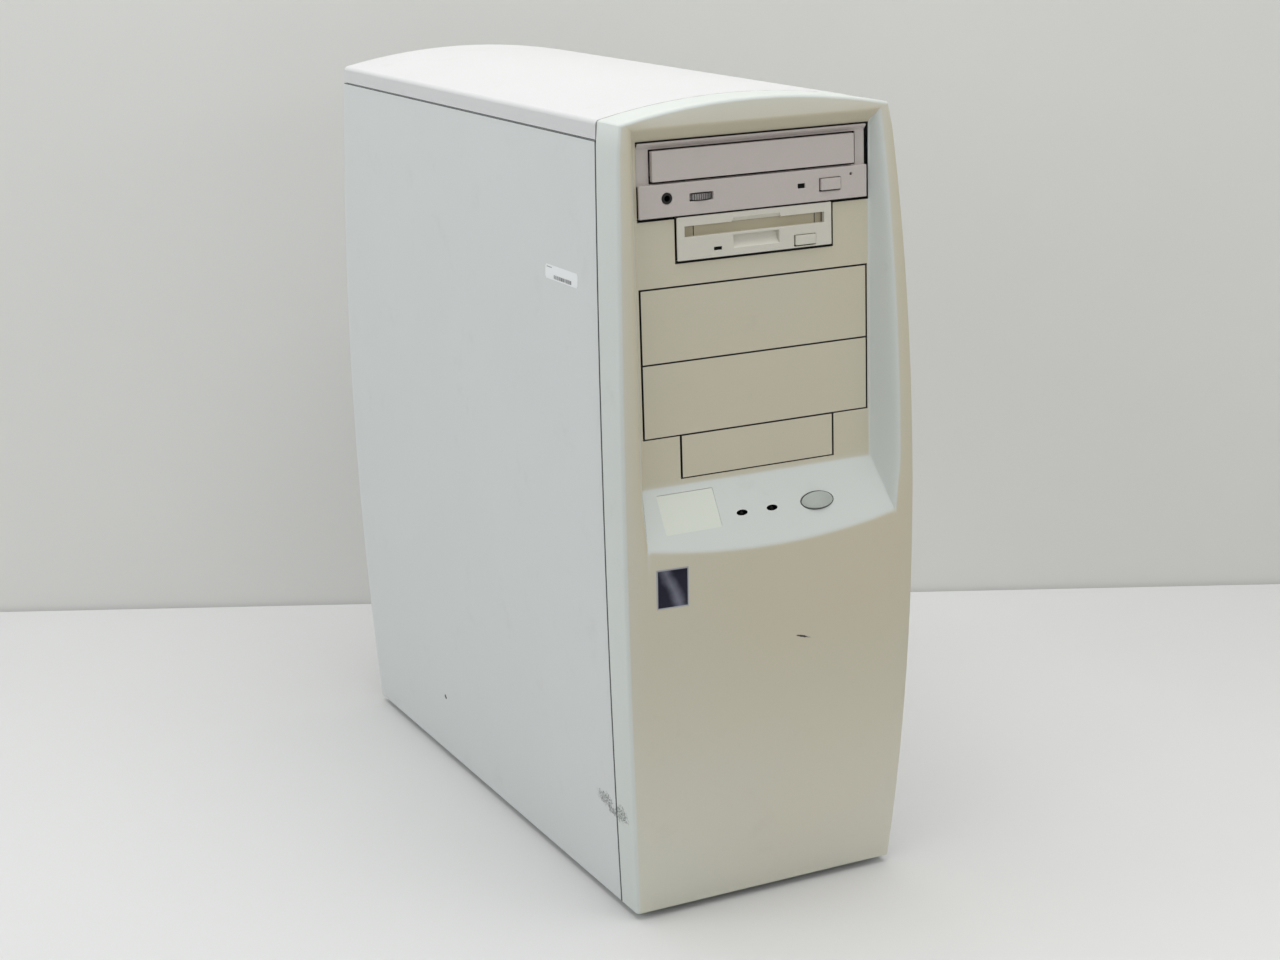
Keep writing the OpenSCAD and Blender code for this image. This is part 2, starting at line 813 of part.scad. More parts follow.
module rear_panel() place() color("#b8bcbe") {
    inner = chassis_x - steel_t;
    vents = 9;
    shelf_x = pocket_x0 - steel_t;
    difference() {
        union() {
            difference() {
                span([-inner, inner], [rear_y0, rear_y1], [pan_top, roof_z]);
                span([pocket_x0, pocket_x1], [rear_y0 - 1, rear_y1 + 1], [pocket_z0, pocket_z1]);
            }
            difference() {
                span([shelf_x, pocket_x1 + steel_t], [pocket_y0, rear_y1],
                    [pocket_z0 - steel_t, pocket_z1 + steel_t]);
                span([pocket_x0, pocket_x1], [pocket_y1, rear_y1 + 1], [pocket_z0, pocket_z1]);
            }
        }
        card_openings([pocket_y0 - 1, pocket_y1 + 1]);
        span([10 - flange_x, flange_x - 10], [rear_y0 - 1, rear_y1 + 1], [psu_z0 + 4, psu_z1 - 4]);
        for (x = psu_screw_x, z = psu_screw_z) rod_y(x, [rear_y0 - 1, rear_y1 + 1], z, 1.75);
        for (i = [0 : slot_count - 1]) {
            rod_x([shelf_x - 1, pocket_x0 + 1], ledge_y, slot_z0 + i * slot_pitch,
                screw_r + shaft_gap);
        }
        both_sides() for (z = thumb_z) {
            rod_y(thumb_x, [rear_y0 - 1, rear_y1 + 1], z, thumb_shank + shaft_gap);
        }
        for (i = [0 : vents - 1], j = [0 : 2]) {
            rod_y(-66 + 9 * j, [rear_y0 - 1, rear_y1 + 1], 150 + 9 * i, 3, $fn = 24);
        }
    }
}

screw_r = 1.5;
psu_screw_x = [6 - psu_w / 2, psu_w / 2 - 6];
psu_screw_z = [psu_z0 + 6, psu_z1 - 6];

module board_tray() place() color("#b8bcbe") {
    y = [board_y0 - 12, pocket_y0];
    z = [pan_top, board_z + board_h + 12];
    span([tray_x0, tray_x1], y, z);
    span([tray_x0 - 10, tray_x1], y, [pan_top, pan_top + steel_t]);
    for (i = [0 : 2], j = [0 : 2]) {
        rod_x([board_x1, tray_x0 + 0.5], board_y0 + 12 + i * (board_d - 24) / 2,
            board_z + 12 + j * (board_h - 24) / 2, 3, $fn = 24);
    }
}

cage_x = cd_w / 2;
cage_back = 150;

module drive_cage() place() color("#aeb3b5") {
    z = [cage_z0, roof_z];
    both_sides() {
        difference() {
            span([cage_x, cage_x + steel_t], [frame_back, cage_back], z);
            for (i = [0 : 2], j = [0, 1]) {
                slot_z = blank_z0 + 10 + i * bay5_h + (i == 2 ? bay_web + bay3_h : 0);
                span([cage_x - 1, cage_x + 2], [40 + 60 * j, 52 + 60 * j], [slot_z, slot_z + 3]);
            }
        }
        span([cage_x, chassis_x - steel_t - 1], [frame_back, frame_back + steel_t], z);
        span([cage_x, cage_x + 8], [frame_back, cage_back], [roof_z - steel_t, roof_z]);
    }
    span([-cage_x, cage_x], [frame_back, cage_back], [cage_z0, cage_z0 + steel_t]);
}

module floppy_bracket() place() color("#aeb3b5") {
    x = fd_w / 2;
    y = [frame_back + steel_t, cage_back - 10];
    z0 = fd_low - steel_t;
    span([-cage_x, cage_x], y, [z0, z0 + steel_t]);
    both_sides() {
        span([x, x + steel_t], y, [z0, fd_low + fd_h - 1]);
        span([cage_x - steel_t, cage_x], y, [z0 - 8, z0]);
    }
}

hd_w = 101.6;
hd_h = 25.4;
hd_d = 147;
hd_y0 = 26;
hd_z0 = cage_z0 - 36;

module hard_drive_cage() place() color("#aeb3b5") {
    x = hd_w / 2;
    top = cage_z0;
    y = [frame_back, cage_back + 20];
    both_sides() difference() {
        union() {
            span([x, x + steel_t], y, [hd_z0 - 6, top]);
            span([x, x + 10], [frame_back, cage_back], [top - steel_t, top]);
            span([x, x + 10], [frame_back, frame_back + steel_t], [hd_z0 - 6, top]);
        }
        for (j = [0, 1]) rod_x([x - 1, x + 2], hd_y0 + 40 + 60 * j, hd_z0 + 6, 1.75, $fn = 24);
    }
    span([-x, x], y, [hd_z0 - 6, hd_z0 - 6 + steel_t]);
}

// One card bracket: a plate behind its slot and a tab on the screw ledge
module card_bracket(i) {
    z = slot_z0 + i * slot_pitch;
    x0 = pocket_x0 - steel_t - bracket_t;
    span([x0, pocket_x1 - 1], [pocket_y0 - bracket_t, pocket_y0], [z - bracket_h / 2, z + bracket_h / 2]);
    difference() {
        span([x0, x0 + bracket_t], [pocket_y0 - bracket_t, pocket_y0 + pocket_in - 1],
            [z - bracket_h / 2, z + bracket_h / 2]);
        rod_x([x0 - 1, x0 + 2], ledge_y, z, screw_r + shaft_gap);
    }
}

module slot_covers() place() color("#c2c6c8") {
    for (i = [0 : slot_count - 1]) {
        if (i != video_slot && i != sound_slot) card_bracket(i);
    }
}

// A pan head screw along +X or +Y, with its head at the origin
module pan_screw(long) {
    head_r = 3.2;
    head_h = 2;
    difference() {
        translate([0, 0, -head_h]) cylinder(r1 = head_r - 0.8, r2 = head_r, h = head_h);
        for (a = [0, 90]) rotate(a) translate([-2, -0.4, -head_h - 1]) cube([4, 0.8, 1.9]);
    }
    cylinder(r = screw_r, h = long);
}

module rear_screws() place() color("#c8ccd0") {
    for (i = [0 : slot_count - 1]) {
        translate([pocket_x0 - steel_t - bracket_t, ledge_y, slot_z0 + i * slot_pitch])
            rotate([0, 90, 0]) pan_screw(5);
    }
    for (x = psu_screw_x, z = psu_screw_z) {
        translate([x, rear_y1, z]) rotate([90, 0, 0]) pan_screw(4.5);
    }
}

module port_cutouts(y, gap) {
    for (p = ports) translate([0, 0, p[1]]) span([board_x - p[3] - gap, board_x - p[2] + gap], y,
        [-p[4] / 2 - gap, p[4] / 2 + gap]);
}

// Each port: name, height of its middle, reach from the board (low, high), height
ports = [
    ["keyboard", port_z0 + 146, 1, 13, 13.6],
    ["mouse", port_z0 + 146, 14.5, 27, 13.6],
    ["usb", port_z0 + 124, 1.5, 17, 13],
    ["serial_one", port_z0 + 96, 1, 12.5, 31],
    ["serial_two", port_z0 + 54, 1, 12.5, 31],
    ["parallel", port_z0 + 75, 18, 29.5, 53]
];

module io_shield() place() color("#c8ccd0") {
    lap = 1.5;
    x1 = port_x1 - 0.2;
    difference() {
        union() {
            span([port_x1 - port_w - lap, x1 + 0.1], [pocket_y0 - 0.5, pocket_y0],
                [port_z0 - lap, port_z0 + port_h + lap]);
            span([port_x1 - port_w + 0.2, x1], [pocket_y0 - 0.5, pocket_y0 + 0.5],
                [port_z0 + 0.2, port_z0 + port_h - 0.2]);
        }
        port_cutouts([pocket_y0 - 2, pocket_y0 + 2], 0.3);
    }
}

// ---- Power supply ----

module psu_case() place() color("#b4b6b4") {
    t = steel_t;
    x = psu_w / 2;
    lead_r = 9;
    difference() {
        span([-x, x], [psu_y0, psu_y1], [psu_z0, psu_z1]);
        span([t - x, x - t], [psu_y0 + t, psu_y1 - t], [psu_z0 + t, psu_z1 - t]);
        rod_y(psu_fan_x, [psu_y1 - 2 * t, psu_y1 + 1], psu_mid_z, fan_r);
        span([inlet_x - inlet_w / 2 - inlet_wall, inlet_x + inlet_w / 2 + inlet_wall],
            [psu_y1 - 2 * t, psu_y1 + 1],
            [inlet_z - inlet_h / 2 - inlet_wall, inlet_z + inlet_h / 2 + inlet_wall]);
        span([inlet_x - 11, inlet_x + 11], [psu_y1 - 2 * t, psu_y1 + 1],
            [selector_z - selector_h / 2, selector_z + selector_h / 2]);
        rod_y(-x + 20, [psu_y0 - 1, psu_y0 + 2 * t], psu_z0 + 14, lead_r);
        for (z = psu_screw_z, sx = psu_screw_x) {
            rod_y(sx, [psu_y1 - 2 * t, psu_y1 + 1], z, screw_r + shaft_gap);
        }
        for (i = [0 : 9]) {
            span([20 - x, x - 20], [psu_y0 - 1, psu_y0 + 2 * t],
                [psu_z0 + 26 + 5 * i, psu_z0 + 28.5 + 5 * i]);
        }
    }
}

module psu_circuit() place() color("#3d5a45") {
    t = steel_t;
    x = psu_w / 2 - t - 3;
    z = psu_z0 + t + 5;
    span([-x, x], [psu_y0 + 6, psu_y1 - fan_d - 6], [z, z + 1.6]);
    for (sx = [-x + 8, x - 8], sy = [psu_y0 + 14, psu_y1 - fan_d - 14]) {
        rod_z(sx, sy, [psu_z0 + t, z + 0.5], 2.5, $fn = 24);
    }
    for (sx = [-30, 22]) for (i = [0 : 5]) {
        span([sx + 3 * i, sx + 3 * i + 1.2], [psu_y0 + 20, psu_y0 + 85], [z + 1.5, z + 50]);
    }
    for (sx = [-30, 22]) span([sx, sx + 16.2], [psu_y0 + 20, psu_y0 + 85], [z + 1, z + 4.5]);
    span([-8, 16], [psu_y0 + 30, psu_y0 + 64], [z + 1, z + 34]);
    for (i = [0, 1]) rod_z(54, psu_y0 + 34 + 28 * i, [z + 1, z + 46], 11);
}

// Rings of round wire on two crossed wires, held at four corners
module psu_fan_guard() place() color("#d0d4d8") {
    wire = 1;
    rings = 5;
    ear = fan_w / 2 - 4.5;
    translate([psu_fan_x, psu_y1, psu_mid_z]) rotate([-90, 0, 0]) {
        for (i = [1 : rings]) {
            rotate_extrude() translate([i * fan_r / (rings + 0.4), wire]) circle(wire, $fn = 20);
        }
        for (a = [45, 135]) rotate(a) translate([-ear * sqrt(2), 0, wire * 2.4]) rotate([0, 90, 0])
            cylinder(r = wire, h = 2 * ear * sqrt(2), $fn = 20);
        for (x = [-ear, ear], y = [-ear, ear]) translate([x, y, 0]) {
            cylinder(r = 3, h = wire * 3);
        }
    }
}

module psu_fan_frame() place() color("#26282a") {
    y = [psu_y1 - steel_t - fan_d, psu_y1 - steel_t];
    hole_at = fan_w / 2 - 4.3;
    struts = 3;
    translate([psu_fan_x, 0, psu_mid_z]) {
        difference() {
            along_y(y) round_rect(fan_w, fan_w, 4);
            rod_y(0, [y[0] - 1, y[1] + 1], 0, fan_r);
            for (x = [-hole_at, hole_at], z = [-hole_at, hole_at]) rod_y(x, [y[0] - 1, y[1] + 1], z, 2.1);
        }
        rod_y(0, [y[0], y[0] + 4], 0, hub_r);
        rod_y(0, [y[0] + 3.5, y[0] + 10], 0, 4 - shaft_gap);
        for (i = [0 : struts - 1]) translate([0, y[0], 0]) rotate([0, 120 * i, 0]) {
            translate([hub_r - 1, 0, -2]) cube([fan_r - hub_r + 2, 3, 4]);
        }
    }
}

// A hub with seven pitched blades, on the stub of the fan frame
module fan_rotor(r, hub, deep, bore_r, bore_in, blades) {
    rotate([-90, 0, 0]) difference() {
        union() {
            cylinder(r = hub, h = deep);
            intersection() {
                translate([0, 0, 0.5]) difference() {
                    cylinder(r = r, h = deep - 1);
                    translate([0, 0, -1]) cylinder(r = hub - 1, h = deep + 1);
                }
                for (i = [0 : blades - 1]) rotate(360 / blades * i) translate([0, 0, deep / 2])
                    rotate([52, 0, 0]) translate([hub - 1.5, -deep, -0.7]) cube([r, 2 * deep, 1.4]);
            }
        }
        translate([0, 0, -1]) cylinder(r = bore_r, h = bore_in + 1);
    }
}

module psu_fan_rotor() place() color("#303234") {
    translate([psu_fan_x, psu_y1 - steel_t - fan_d + 4.4, psu_mid_z])
        fan_rotor(fan_r - 1, hub_r, fan_d - 7, 4, 8, 7);
}

// The earthed mains socket: a chamfered well with three flat pins
module mains_inlet() place() color("#1e1e20") {
    x = inlet_w / 2 + inlet_wall - 0.2;
    z = inlet_h / 2 + inlet_wall - 0.2;
    y1 = psu_y1 + 2;
    cut = 4;
    pin_l = 10;
    translate([inlet_x, 0, inlet_z]) {
        difference() {
            union() {
                span([-x, x], [psu_y1 - inlet_deep, y1], [-z, z]);
                span([-x - 1.2, x + 1.2], [psu_y1, y1], [-z - 1.2, z + 1.2]);
            }
            along_y([y1 - inlet_deep, y1 + 1]) polygon([
                [-inlet_w / 2, -inlet_h / 2], [inlet_w / 2, -inlet_h / 2],
                [inlet_w / 2, inlet_h / 2 - cut], [inlet_w / 2 - cut, inlet_h / 2],
                [cut - inlet_w / 2, inlet_h / 2], [-inlet_w / 2, inlet_h / 2 - cut]
            ]);
        }
        for (p = [[-7, -2], [7, -2], [0, 2]]) {
            span([p[0] - 1, p[0] + 1], [y1 - inlet_deep - 1, y1 - inlet_deep + pin_l],
                [p[1] - 2, p[1] + 2]);
        }
    }
}

module voltage_slider() place() color("#b3261e") {
    travel = slider_travel;
    translate([inlet_x - travel / 2, 0, selector_z]) {
        span([-4, 4], [psu_y1 - steel_t - slide_gap, psu_y1 + 1],
            [slide_gap - selector_h / 2, selector_h / 2 - slide_gap]);
        span([-7, 7], [psu_y1 - steel_t - slide_gap - 2, psu_y1 - steel_t - slide_gap], [-5, 5]);
    }
}

// ---- Main board and cards ----

module main_board() place() color("#2f5d3a") {
    y = [board_y0, board_y1];
    z = [board_z, board_z + board_h];
    chip_h = 2.2;
    span([board_x, board_x1], y, z);
    span([board_x - chip_h, board_x], [board_y0 + 60, board_y0 + 95], [board_z + 120, board_z + 155]);
    span([board_x - chip_h, board_x], [board_y0 + 12, board_y0 + 40], [board_z + 60, board_z + 88]);
    span([board_x - 4, board_x], [board_y0 + 10, board_y0 + 24], [board_z + 20, board_z + 52]);
    rod_x([board_x - 4, board_x], board_y0 + 40, board_z + 36, 10);
    for (i = [0 : 4]) {
        rod_x([board_x - 14, board_x], board_y1 - 40 - 13 * i, board_z + board_h - 12, 5, $fn = 32);
    }
    for (i = [0, 1]) {
        span([board_x - 9, board_x], [board_y0 + 6 + 12 * i, board_y0 + 15 + 12 * i],
            [board_z + 180, board_z + 238]);
    }
    span([board_x - 9, board_x], [board_y0 + 34, board_y0 + 44], [board_z + 240, board_z + 292]);
}

socket_h = 11;

module expansion_sockets() place() color("#e6e2d4") {
    long = [138, 138, 85, 85, 85, 85, 75];
    for (i = [0 : slot_count - 1]) {
        z = slot_z0 + i * slot_pitch;
        y1 = board_y1 - 18;
        difference() {
            span([board_x - socket_h, board_x], [y1 - long[i], y1], [z - 4.2, z + 4.2]);
            span([board_x - socket_h - 1, board_x - 2.5], [y1 - long[i] + 2, y1 - 2],
                [z - card_t / 2 - 0.1, z + card_t / 2 + 0.1]);
        }
    }
}

dimm_z0 = board_z + 165;
dimm_y0 = board_y0 + 62;

module memory_modules() place() color("#2c6a44") {
    for (i = [0 : 2]) {
        y = dimm_y0 + 11 * i;
        span([board_x - 8, board_x], [y - 3, y + 4.3], [dimm_z0 - 4, dimm_z0 + 138]);
        if (i < 2) {
            span([board_x - 38, board_x - 7], [y, y + 1.3], [dimm_z0, dimm_z0 + 133.4]);
            for (j = [0 : 7]) {
                span([board_x - 30, board_x - 14], [y - 1, y + 0.2],
                    [dimm_z0 + 5 + 16 * j, dimm_z0 + 16 + 16 * j]);
            }
        }
    }
}

cpu_y = dimm_y0 + 62;
cpu_z0 = board_z + 163;
cpu_fan_x = board_x - 42;
cpu_fan_z = cpu_z0 + 70;
cpu_fan_y = cpu_y - 34;

module processor_cartridge() place() color("#1c1c1e") {
    fin_y = cpu_y - 22;
    fins = 13;
    span([board_x - 12, board_x], [cpu_y - 3, cpu_y + 10], [cpu_z0 - 6, cpu_z0 + 146]);
    span([board_x - 72, board_x - 11], [cpu_y, cpu_y + 12], [cpu_z0, cpu_z0 + 140]);
    span([board_x - 70, board_x - 14], [cpu_y - 4, cpu_y + 1], [cpu_z0 + 6, cpu_z0 + 134]);
    for (i = [0 : fins - 1]) {
        span([board_x - 70, board_x - 14], [fin_y, cpu_y - 3],
            [cpu_z0 + 6 + 10.45 * i, cpu_z0 + 8.5 + 10.45 * i]);
    }
    translate([cpu_fan_x, 0, cpu_fan_z]) {
        difference() {
            along_y([cpu_fan_y, fin_y + 0.5]) round_rect(50, 50, 3);
            rod_y(0, [cpu_fan_y - 1, fin_y + 2], 0, 23);
        }
        rod_y(0, [fin_y - 3, fin_y + 0.5], 0, 10);
        rod_y(0, [fin_y - 7, fin_y], 0, 2 - shaft_gap);
        for (a = [0, 90]) translate([0, fin_y - 2, 0]) rotate([0, a, 0]) {
            translate([-24, 0, -1.5]) cube([48, 2.5, 3]);
        }
    }
}

module processor_fan_rotor() place() color("#34363a") {
    translate([cpu_fan_x, cpu_y - 22 - 3.4, cpu_fan_z]) mirror([0, 1, 0]) fan_rotor(22, 10, 8, 2, 4.5, 7);
}

module rear_ports() place() color("#8f9498") {
    reach = 3;
    deep = 14;
    for (p = ports) translate([0, 0, p[1]]) {
        tall = [-p[4] / 2, p[4] / 2];
        span([board_x - p[3], board_x - p[2]], [pocket_y0 - deep, pocket_y0 + reach], tall);
        if (p[2] < 5) span([board_x - p[2], board_x], [pocket_y0 - deep, board_y1], tall);
        if (p[2] > 14.4) span([board_x - p[2], board_x - 12], [pocket_y0 - deep, board_y1 - 1], [-4, 4]);
    }
}

// A card: circuit board in its socket, with a bracket at the rear
module card(i, long, tall) {
    z = slot_z0 + i * slot_pitch;
    card_bracket(i);
    span([board_x - tall, board_x - socket_h - 0.4], [pocket_y0 - long, pocket_y0 - bracket_t / 2],
        [z - card_t / 2, z + card_t / 2]);
    span([board_x - socket_h - 1, board_x - 3], [board_y1 - 90, board_y1 - 22],
        [z - card_t / 2, z + card_t / 2]);
}

module video_card() place() color("#2a5c3c") {
    z = slot_z0 + video_slot * slot_pitch;
    card(video_slot, 170, 98);
    span([board_x - 70, board_x - 40], [pocket_y0 - 90, pocket_y0 - 60], [z - 6, z]);
    for (i = [0 : 3]) span([board_x - 90 + 18 * i, board_x - 78 + 18 * i],
        [pocket_y0 - 150, pocket_y0 - 128], [z - 3, z]);
    span([board_x - 64, board_x - 34], [pocket_y0 - 12, pocket_y0 + 1], [z - 6, z + 6]);
}

audio_x = [-16, 2, 20];
audio_w = 11;
audio_r = 3.4;
audio_bore = 13;
audio_depth = audio_bore + 1;

module sound_card() place() color("#2a5c3c") {
    z = slot_z0 + sound_slot * slot_pitch;
    difference() {
        union() {
            card(sound_slot, 160, 100);
            span([board_x - 60, board_x - 38], [pocket_y0 - 100, pocket_y0 - 78], [z - 3, z]);
        }
        for (x = audio_x) {
            span([x - audio_w / 2, x + audio_w / 2], [pocket_y0 - audio_depth, pocket_y0 - bracket_t],
                [z - 1, z + 1]);
            rod_y(x, [pocket_y0 - audio_depth, pocket_y0 + 1], z, audio_r + shaft_gap);
        }
    }
}

module sound_jacks() place() color("#2b2d30") {
    z = slot_z0 + sound_slot * slot_pitch;
    half = audio_w / 2;
    for (x = audio_x) difference() {
        union() {
            span([x - half, x + half], [pocket_y0 - audio_depth, pocket_y0 - bracket_t],
                [z - half, z + half]);
            rod_y(x, [pocket_y0 - bracket_t - 1, pocket_y0 + 2], z, audio_r);
        }
        rod_y(x, [pocket_y0 + 2 - audio_bore, pocket_y0 + 3], z, phone_r);
    }
}

module hard_drive() place() color("#9aa0a4") {
    x = hd_w / 2;
    y = [hd_y0, hd_y0 + hd_d];
    span([-x, x], y, [hd_z0, hd_z0 + hd_h - 3]);
    span([2 - x, x - 2], [y[0] + 2, y[1] - 12], [hd_z0 + hd_h - 4, hd_z0 + hd_h]);
    rod_z(8, hd_y0 + 55, [hd_z0 + hd_h - 1, hd_z0 + hd_h + 0.8], 20);
    span([hd_plug_x - cd_plug_w / 2, hd_plug_x + cd_plug_w / 2], [y[1] - 6, y[1] + 4],
        [hd_z0 + 3, hd_z0 + 10]);
    span([22, 44], [y[1] - 6, y[1] + 3], [hd_z0 + 3, hd_z0 + 12]);
}

// ---- CD drive ----

// Room in a drive's back wall for the plug of its flat cable
module plug_room(x, w, y, z) {
    span([x - w / 2, x + w / 2], [y - 2, y + 1], [z - plug_h / 2, z + plug_h / 2]);
}

module cd_case() place() color("#b9bdc0") {
    t = 0.9;
    x = cd_w / 2;
    difference() {
        span([-x, x], [cd_back, cd_y1], [cd_low, cd_high]);
        span([t - x, x - t], [cd_back - 1, cd_y1 - t], [cd_low + t, cd_high - t]);
        span([-60, 60], [60, 140], [cd_high - 2 * t, cd_high - t / 2]);
        plug_room(cd_plug_x, cd_plug_w, cd_y1, cd_plug_z);
    }
}

// Hole for a small rectangular button
module button_hole(x, z, w, h, y) {
    span([x - w / 2 - slide_gap, x + w / 2 + slide_gap], y,
        [z - h / 2 - slide_gap, z + h / 2 + slide_gap]);
}

// Lower part level with the tray; the pillars beside the tray stand back,
// and the strip above it slopes out again
module cd_bezel() place() color("#aca49c") {
    x = cd_front_w / 2;
    z0 = cd_z0 + bay_gap;
    z1 = z0 + cd_front_h;
    fx = tray_front_w / 2 + tray_gap;
    y = [cd_face - 1, cd_back + 1];
    brow_y = cd_face + 0.5;
    difference() {
        along_x([-x, x]) polygon([
            [cd_back, z0], [cd_face, z0], [cd_face, step_z], [cd_face + step_in, step_z],
            [cd_face + step_in, tray_front_z1 + tray_gap], [brow_y, z1 - 0.8], [brow_y, z1], [cd_back, z1]
        ]);
        // Hollow behind the face
        span([3 - x, x - 3], [cd_back - 2.2, cd_back + 1], [z0 + 3, z1 - 3]);
        span([-fx, fx], y, [tray_z0 - tray_gap, tray_front_z1 + tray_gap]);
        rod_y(jack_x, y, jack_z, jack_r + 0.05);
        span([wheel_x - 7.5, wheel_x + 7.5], y, [wheel_z - 2.5, wheel_z + 2.5]);
        span([wheel_x - wheel_r - 0.4, wheel_x + wheel_r + 0.4], [cd_face + 1.6, cd_back + 1],
            [wheel_z - 2.5, wheel_z + 2.5]);
        button_hole(cd_button_x, cd_button_z, cd_button_w, cd_button_h, y);
        span([cd_lamp_x - 2.4, cd_lamp_x + 2.4], y, [cd_lamp_z - 1.5, cd_lamp_z + 1.5]);
        rod_y(pin_x, y, pin_z, 0.8, $fn = 24);
    }
}

jack_r = 3.1;

module cd_headphone_jack() place() color("#1a1a1c") {
    long = 14;
    difference() {
        union() {
            rod_y(jack_x, [cd_face, cd_face + long], jack_z, jack_r);
            span([jack_x - 5, jack_x + 5], [cd_back, cd_face + long], [jack_z - 5, jack_z + 5]);
            span([jack_x - 5, jack_x + 5], [cd_back, cd_face + long], [deck_top, jack_z]);
        }
        rod_y(jack_x, [cd_face - 1, cd_face + long - 1], jack_z, phone_r);
    }
}

// A knurled wheel on its own spindle
module cd_volume_wheel() place() color("#2a2a2c") {
    teeth = 40;
    translate([wheel_x, wheel_y, wheel_z - wheel_t / 2]) difference() {
        cylinder(r = wheel_r, h = wheel_t);
        for (i = [0 : teeth - 1]) rotate(i * 360 / teeth) translate([wheel_r, 0, -1])
            cylinder(r = 0.35, h = wheel_t + 2, $fn = 16);
        translate([0, 0, -1]) cylinder(r = spindle_r + shaft_gap, h = wheel_t + 2);
    }
}

module cd_eject_button() place() color("#b5ada4") {
    w = cd_button_w / 2;
    h = cd_button_h / 2;
    stem = 7;
    translate([cd_button_x, 0, cd_button_z]) {
        span([-w, w], [cd_face - 0.8, cd_back - 1], [-h, h]);
        span([-1.5, 1.5], [cd_back - 2, cd_back + stem], [-1.5, 1.5]);
    }
}

// Plastic frame of the mechanism: a floor, side rails for the tray, the
// slide rods of the laser and the posts of the small controls
module cd_deck() place() color("#3c3d40") {
    t = 0.9;
    x = cd_w / 2 - t;
    rail_x = tray_w / 2 + slide_gap;
    y = [cd_back + 2, cd_y1 - 20];
    difference() {
        union() {
            span([-x, x], y, [deck_floor, deck_top]);
            both_sides() {
                span([rail_x, x], [cd_back + 6, y[1]], [deck_floor + 1, tray_plate_z1 + 2]);
                span([rail_x - 4, x], [cd_back + 6, y[1]],
                    [tray_plate_z0 - slide_gap - 2, tray_plate_z0 - slide_gap]);
                rod_y(rod_x, [disc_y - 8, disc_y + 78], sled_z, rod_r);
                for (sy = [disc_y - 9, disc_y + 76]) {
                    span([rod_x - 3, rod_x + 3], [sy, sy + 3], [deck_floor + 1, sled_z + 3]);
                }
            }
            // Spindle of the turntable, volume wheel and eject switch
            rod_z(0, disc_y, [deck_floor + 1, turntable_z + 5], spindle_r);
            rod_z(0, disc_y, [deck_floor + 1, turntable_z - 0.4], 12);
            rod_z(wheel_x, wheel_y, [deck_floor + 1, wheel_z + wheel_t / 2 + 1], spindle_r);
            rod_z(wheel_x, wheel_y, [deck_floor + 1, wheel_z - wheel_t / 2 - 0.3], 2.5);
            span([cd_button_x - 4, cd_button_x + 4], [cd_back + 7 + cd_button_travel + 0.5, cd_back + 16],
                [deck_floor + 1, cd_button_z + 3]);
        }
        span([-rod_x + 4, rod_x - 4], [disc_y + 14, disc_y + 74], [deck_floor - 1, deck_floor + 3]);
    }
}

turntable_z = tray_plate_z0 - slide_gap - 6.5;
sled_z = turntable_z - 3.5;

module cd_turntable() place() color("#54565a") {
    translate([0, disc_y, turntable_z]) difference() {
        union() {
            cylinder(r = 15, h = 2.2);
            cylinder(r1 = 7.4, r2 = 6.4, h = 5.2);
        }
        translate([0, 0, -1]) cylinder(r = spindle_r + shaft_gap, h = 8);
    }
}

// The laser carriage on its two rods
module cd_laser_sled() place() color("#6a6c70") {
    y = [disc_y + 19, disc_y + 19 + 20];
    difference() {
        union() {
            span([-rod_x - 4, rod_x + 4], y, [sled_z - 3, sled_z + 3]);
            translate([0, mid(y[0], y[1]) - 3, sled_z + 2]) cylinder(r = 5, h = 3);
            translate([0, mid(y[0], y[1]) - 3, sled_z + 4]) cylinder(r = 2.5, h = 1.8);
        }
        both_sides() rod_y(rod_x, [y[0] - 1, y[1] + 1], sled_z, rod_r + shaft_gap);
    }
}

module cd_tray() place() color("#a8a098") {
    x = tray_front_w / 2;
    tx = tray_w / 2;
    z = [tray_plate_z0, tray_plate_z1];
    y1 = cd_back + tray_len;
    hole_r = 20;
    difference() {
        union() {
            span([-x, x], [cd_face, cd_face + 3], [tray_z0, tray_front_z1]);
            span([-tx, tx], [cd_face + 2, y1], z);
        }
        rod_z(0, disc_y, [z[1] - well, z[1] + 1], disc_r);
        rod_z(0, disc_y, [z[0] - 1, z[1] + 1], hole_r);
        span([-hole_r, hole_r], [disc_y, y1 - 10], [z[0] - 1, z[1] + 1]);
    }
}

// ---- Floppy drive ----

module floppy_case() place() color("#b9bdc0") {
    t = 0.8;
    x = fd_w / 2;
    difference() {
        span([-x, x], [fd_back, fd_y1], [fd_low, fd_low + fd_h]);
        span([t - x, x - t], [fd_back - 1, fd_y1 - t], [fd_low + t, fd_low + fd_h - t]);
        plug_room(fd_plug_x, fd_plug_w, fd_y1, fd_plug_z);
    }
}

module floppy_bezel() place() color("#cfc9b6") {
    x = fd_front_w / 2;
    z0 = fd_z0 + bay_gap;
    z = [disk_z - slot_h / 2, disk_z + slot_h / 2];
    y = [fd_face - 1, fd_back + 1];
    scoop = [scoop_x - scoop_w / 2, scoop_x + scoop_w / 2];
    bar = 1.3;
    difference() {
        span([-x, x], [fd_face, fd_back], [z0, z0 + fd_front_h]);
        span([-slot_w / 2, slot_w / 2], y, z);
        // Notch above the slot and finger scoop under the bar below it
        span(scoop, [fd_face - 1, fd_face + 1.5], [z[0], z[1] + 2.1]);
        intersection() {
            rod_x(scoop, fd_face + scoop_in - scoop_r, z[0] - bar - 1.6, scoop_r);
            span(scoop, y, [z0, z[0] - bar]);
        }
        span([2 - x, x - 2], [fd_back - fd_hollow, fd_back + 1], [z[0] - 0.8, z0 + fd_front_h - 2]);
        button_hole(fd_button_x, fd_button_z, fd_button_w, fd_button_h, y);
        span([fd_lamp_x - 2.6, fd_lamp_x + 2.6], y, [fd_lamp_z - 1.1, fd_lamp_z + 1.1]);
    }
}

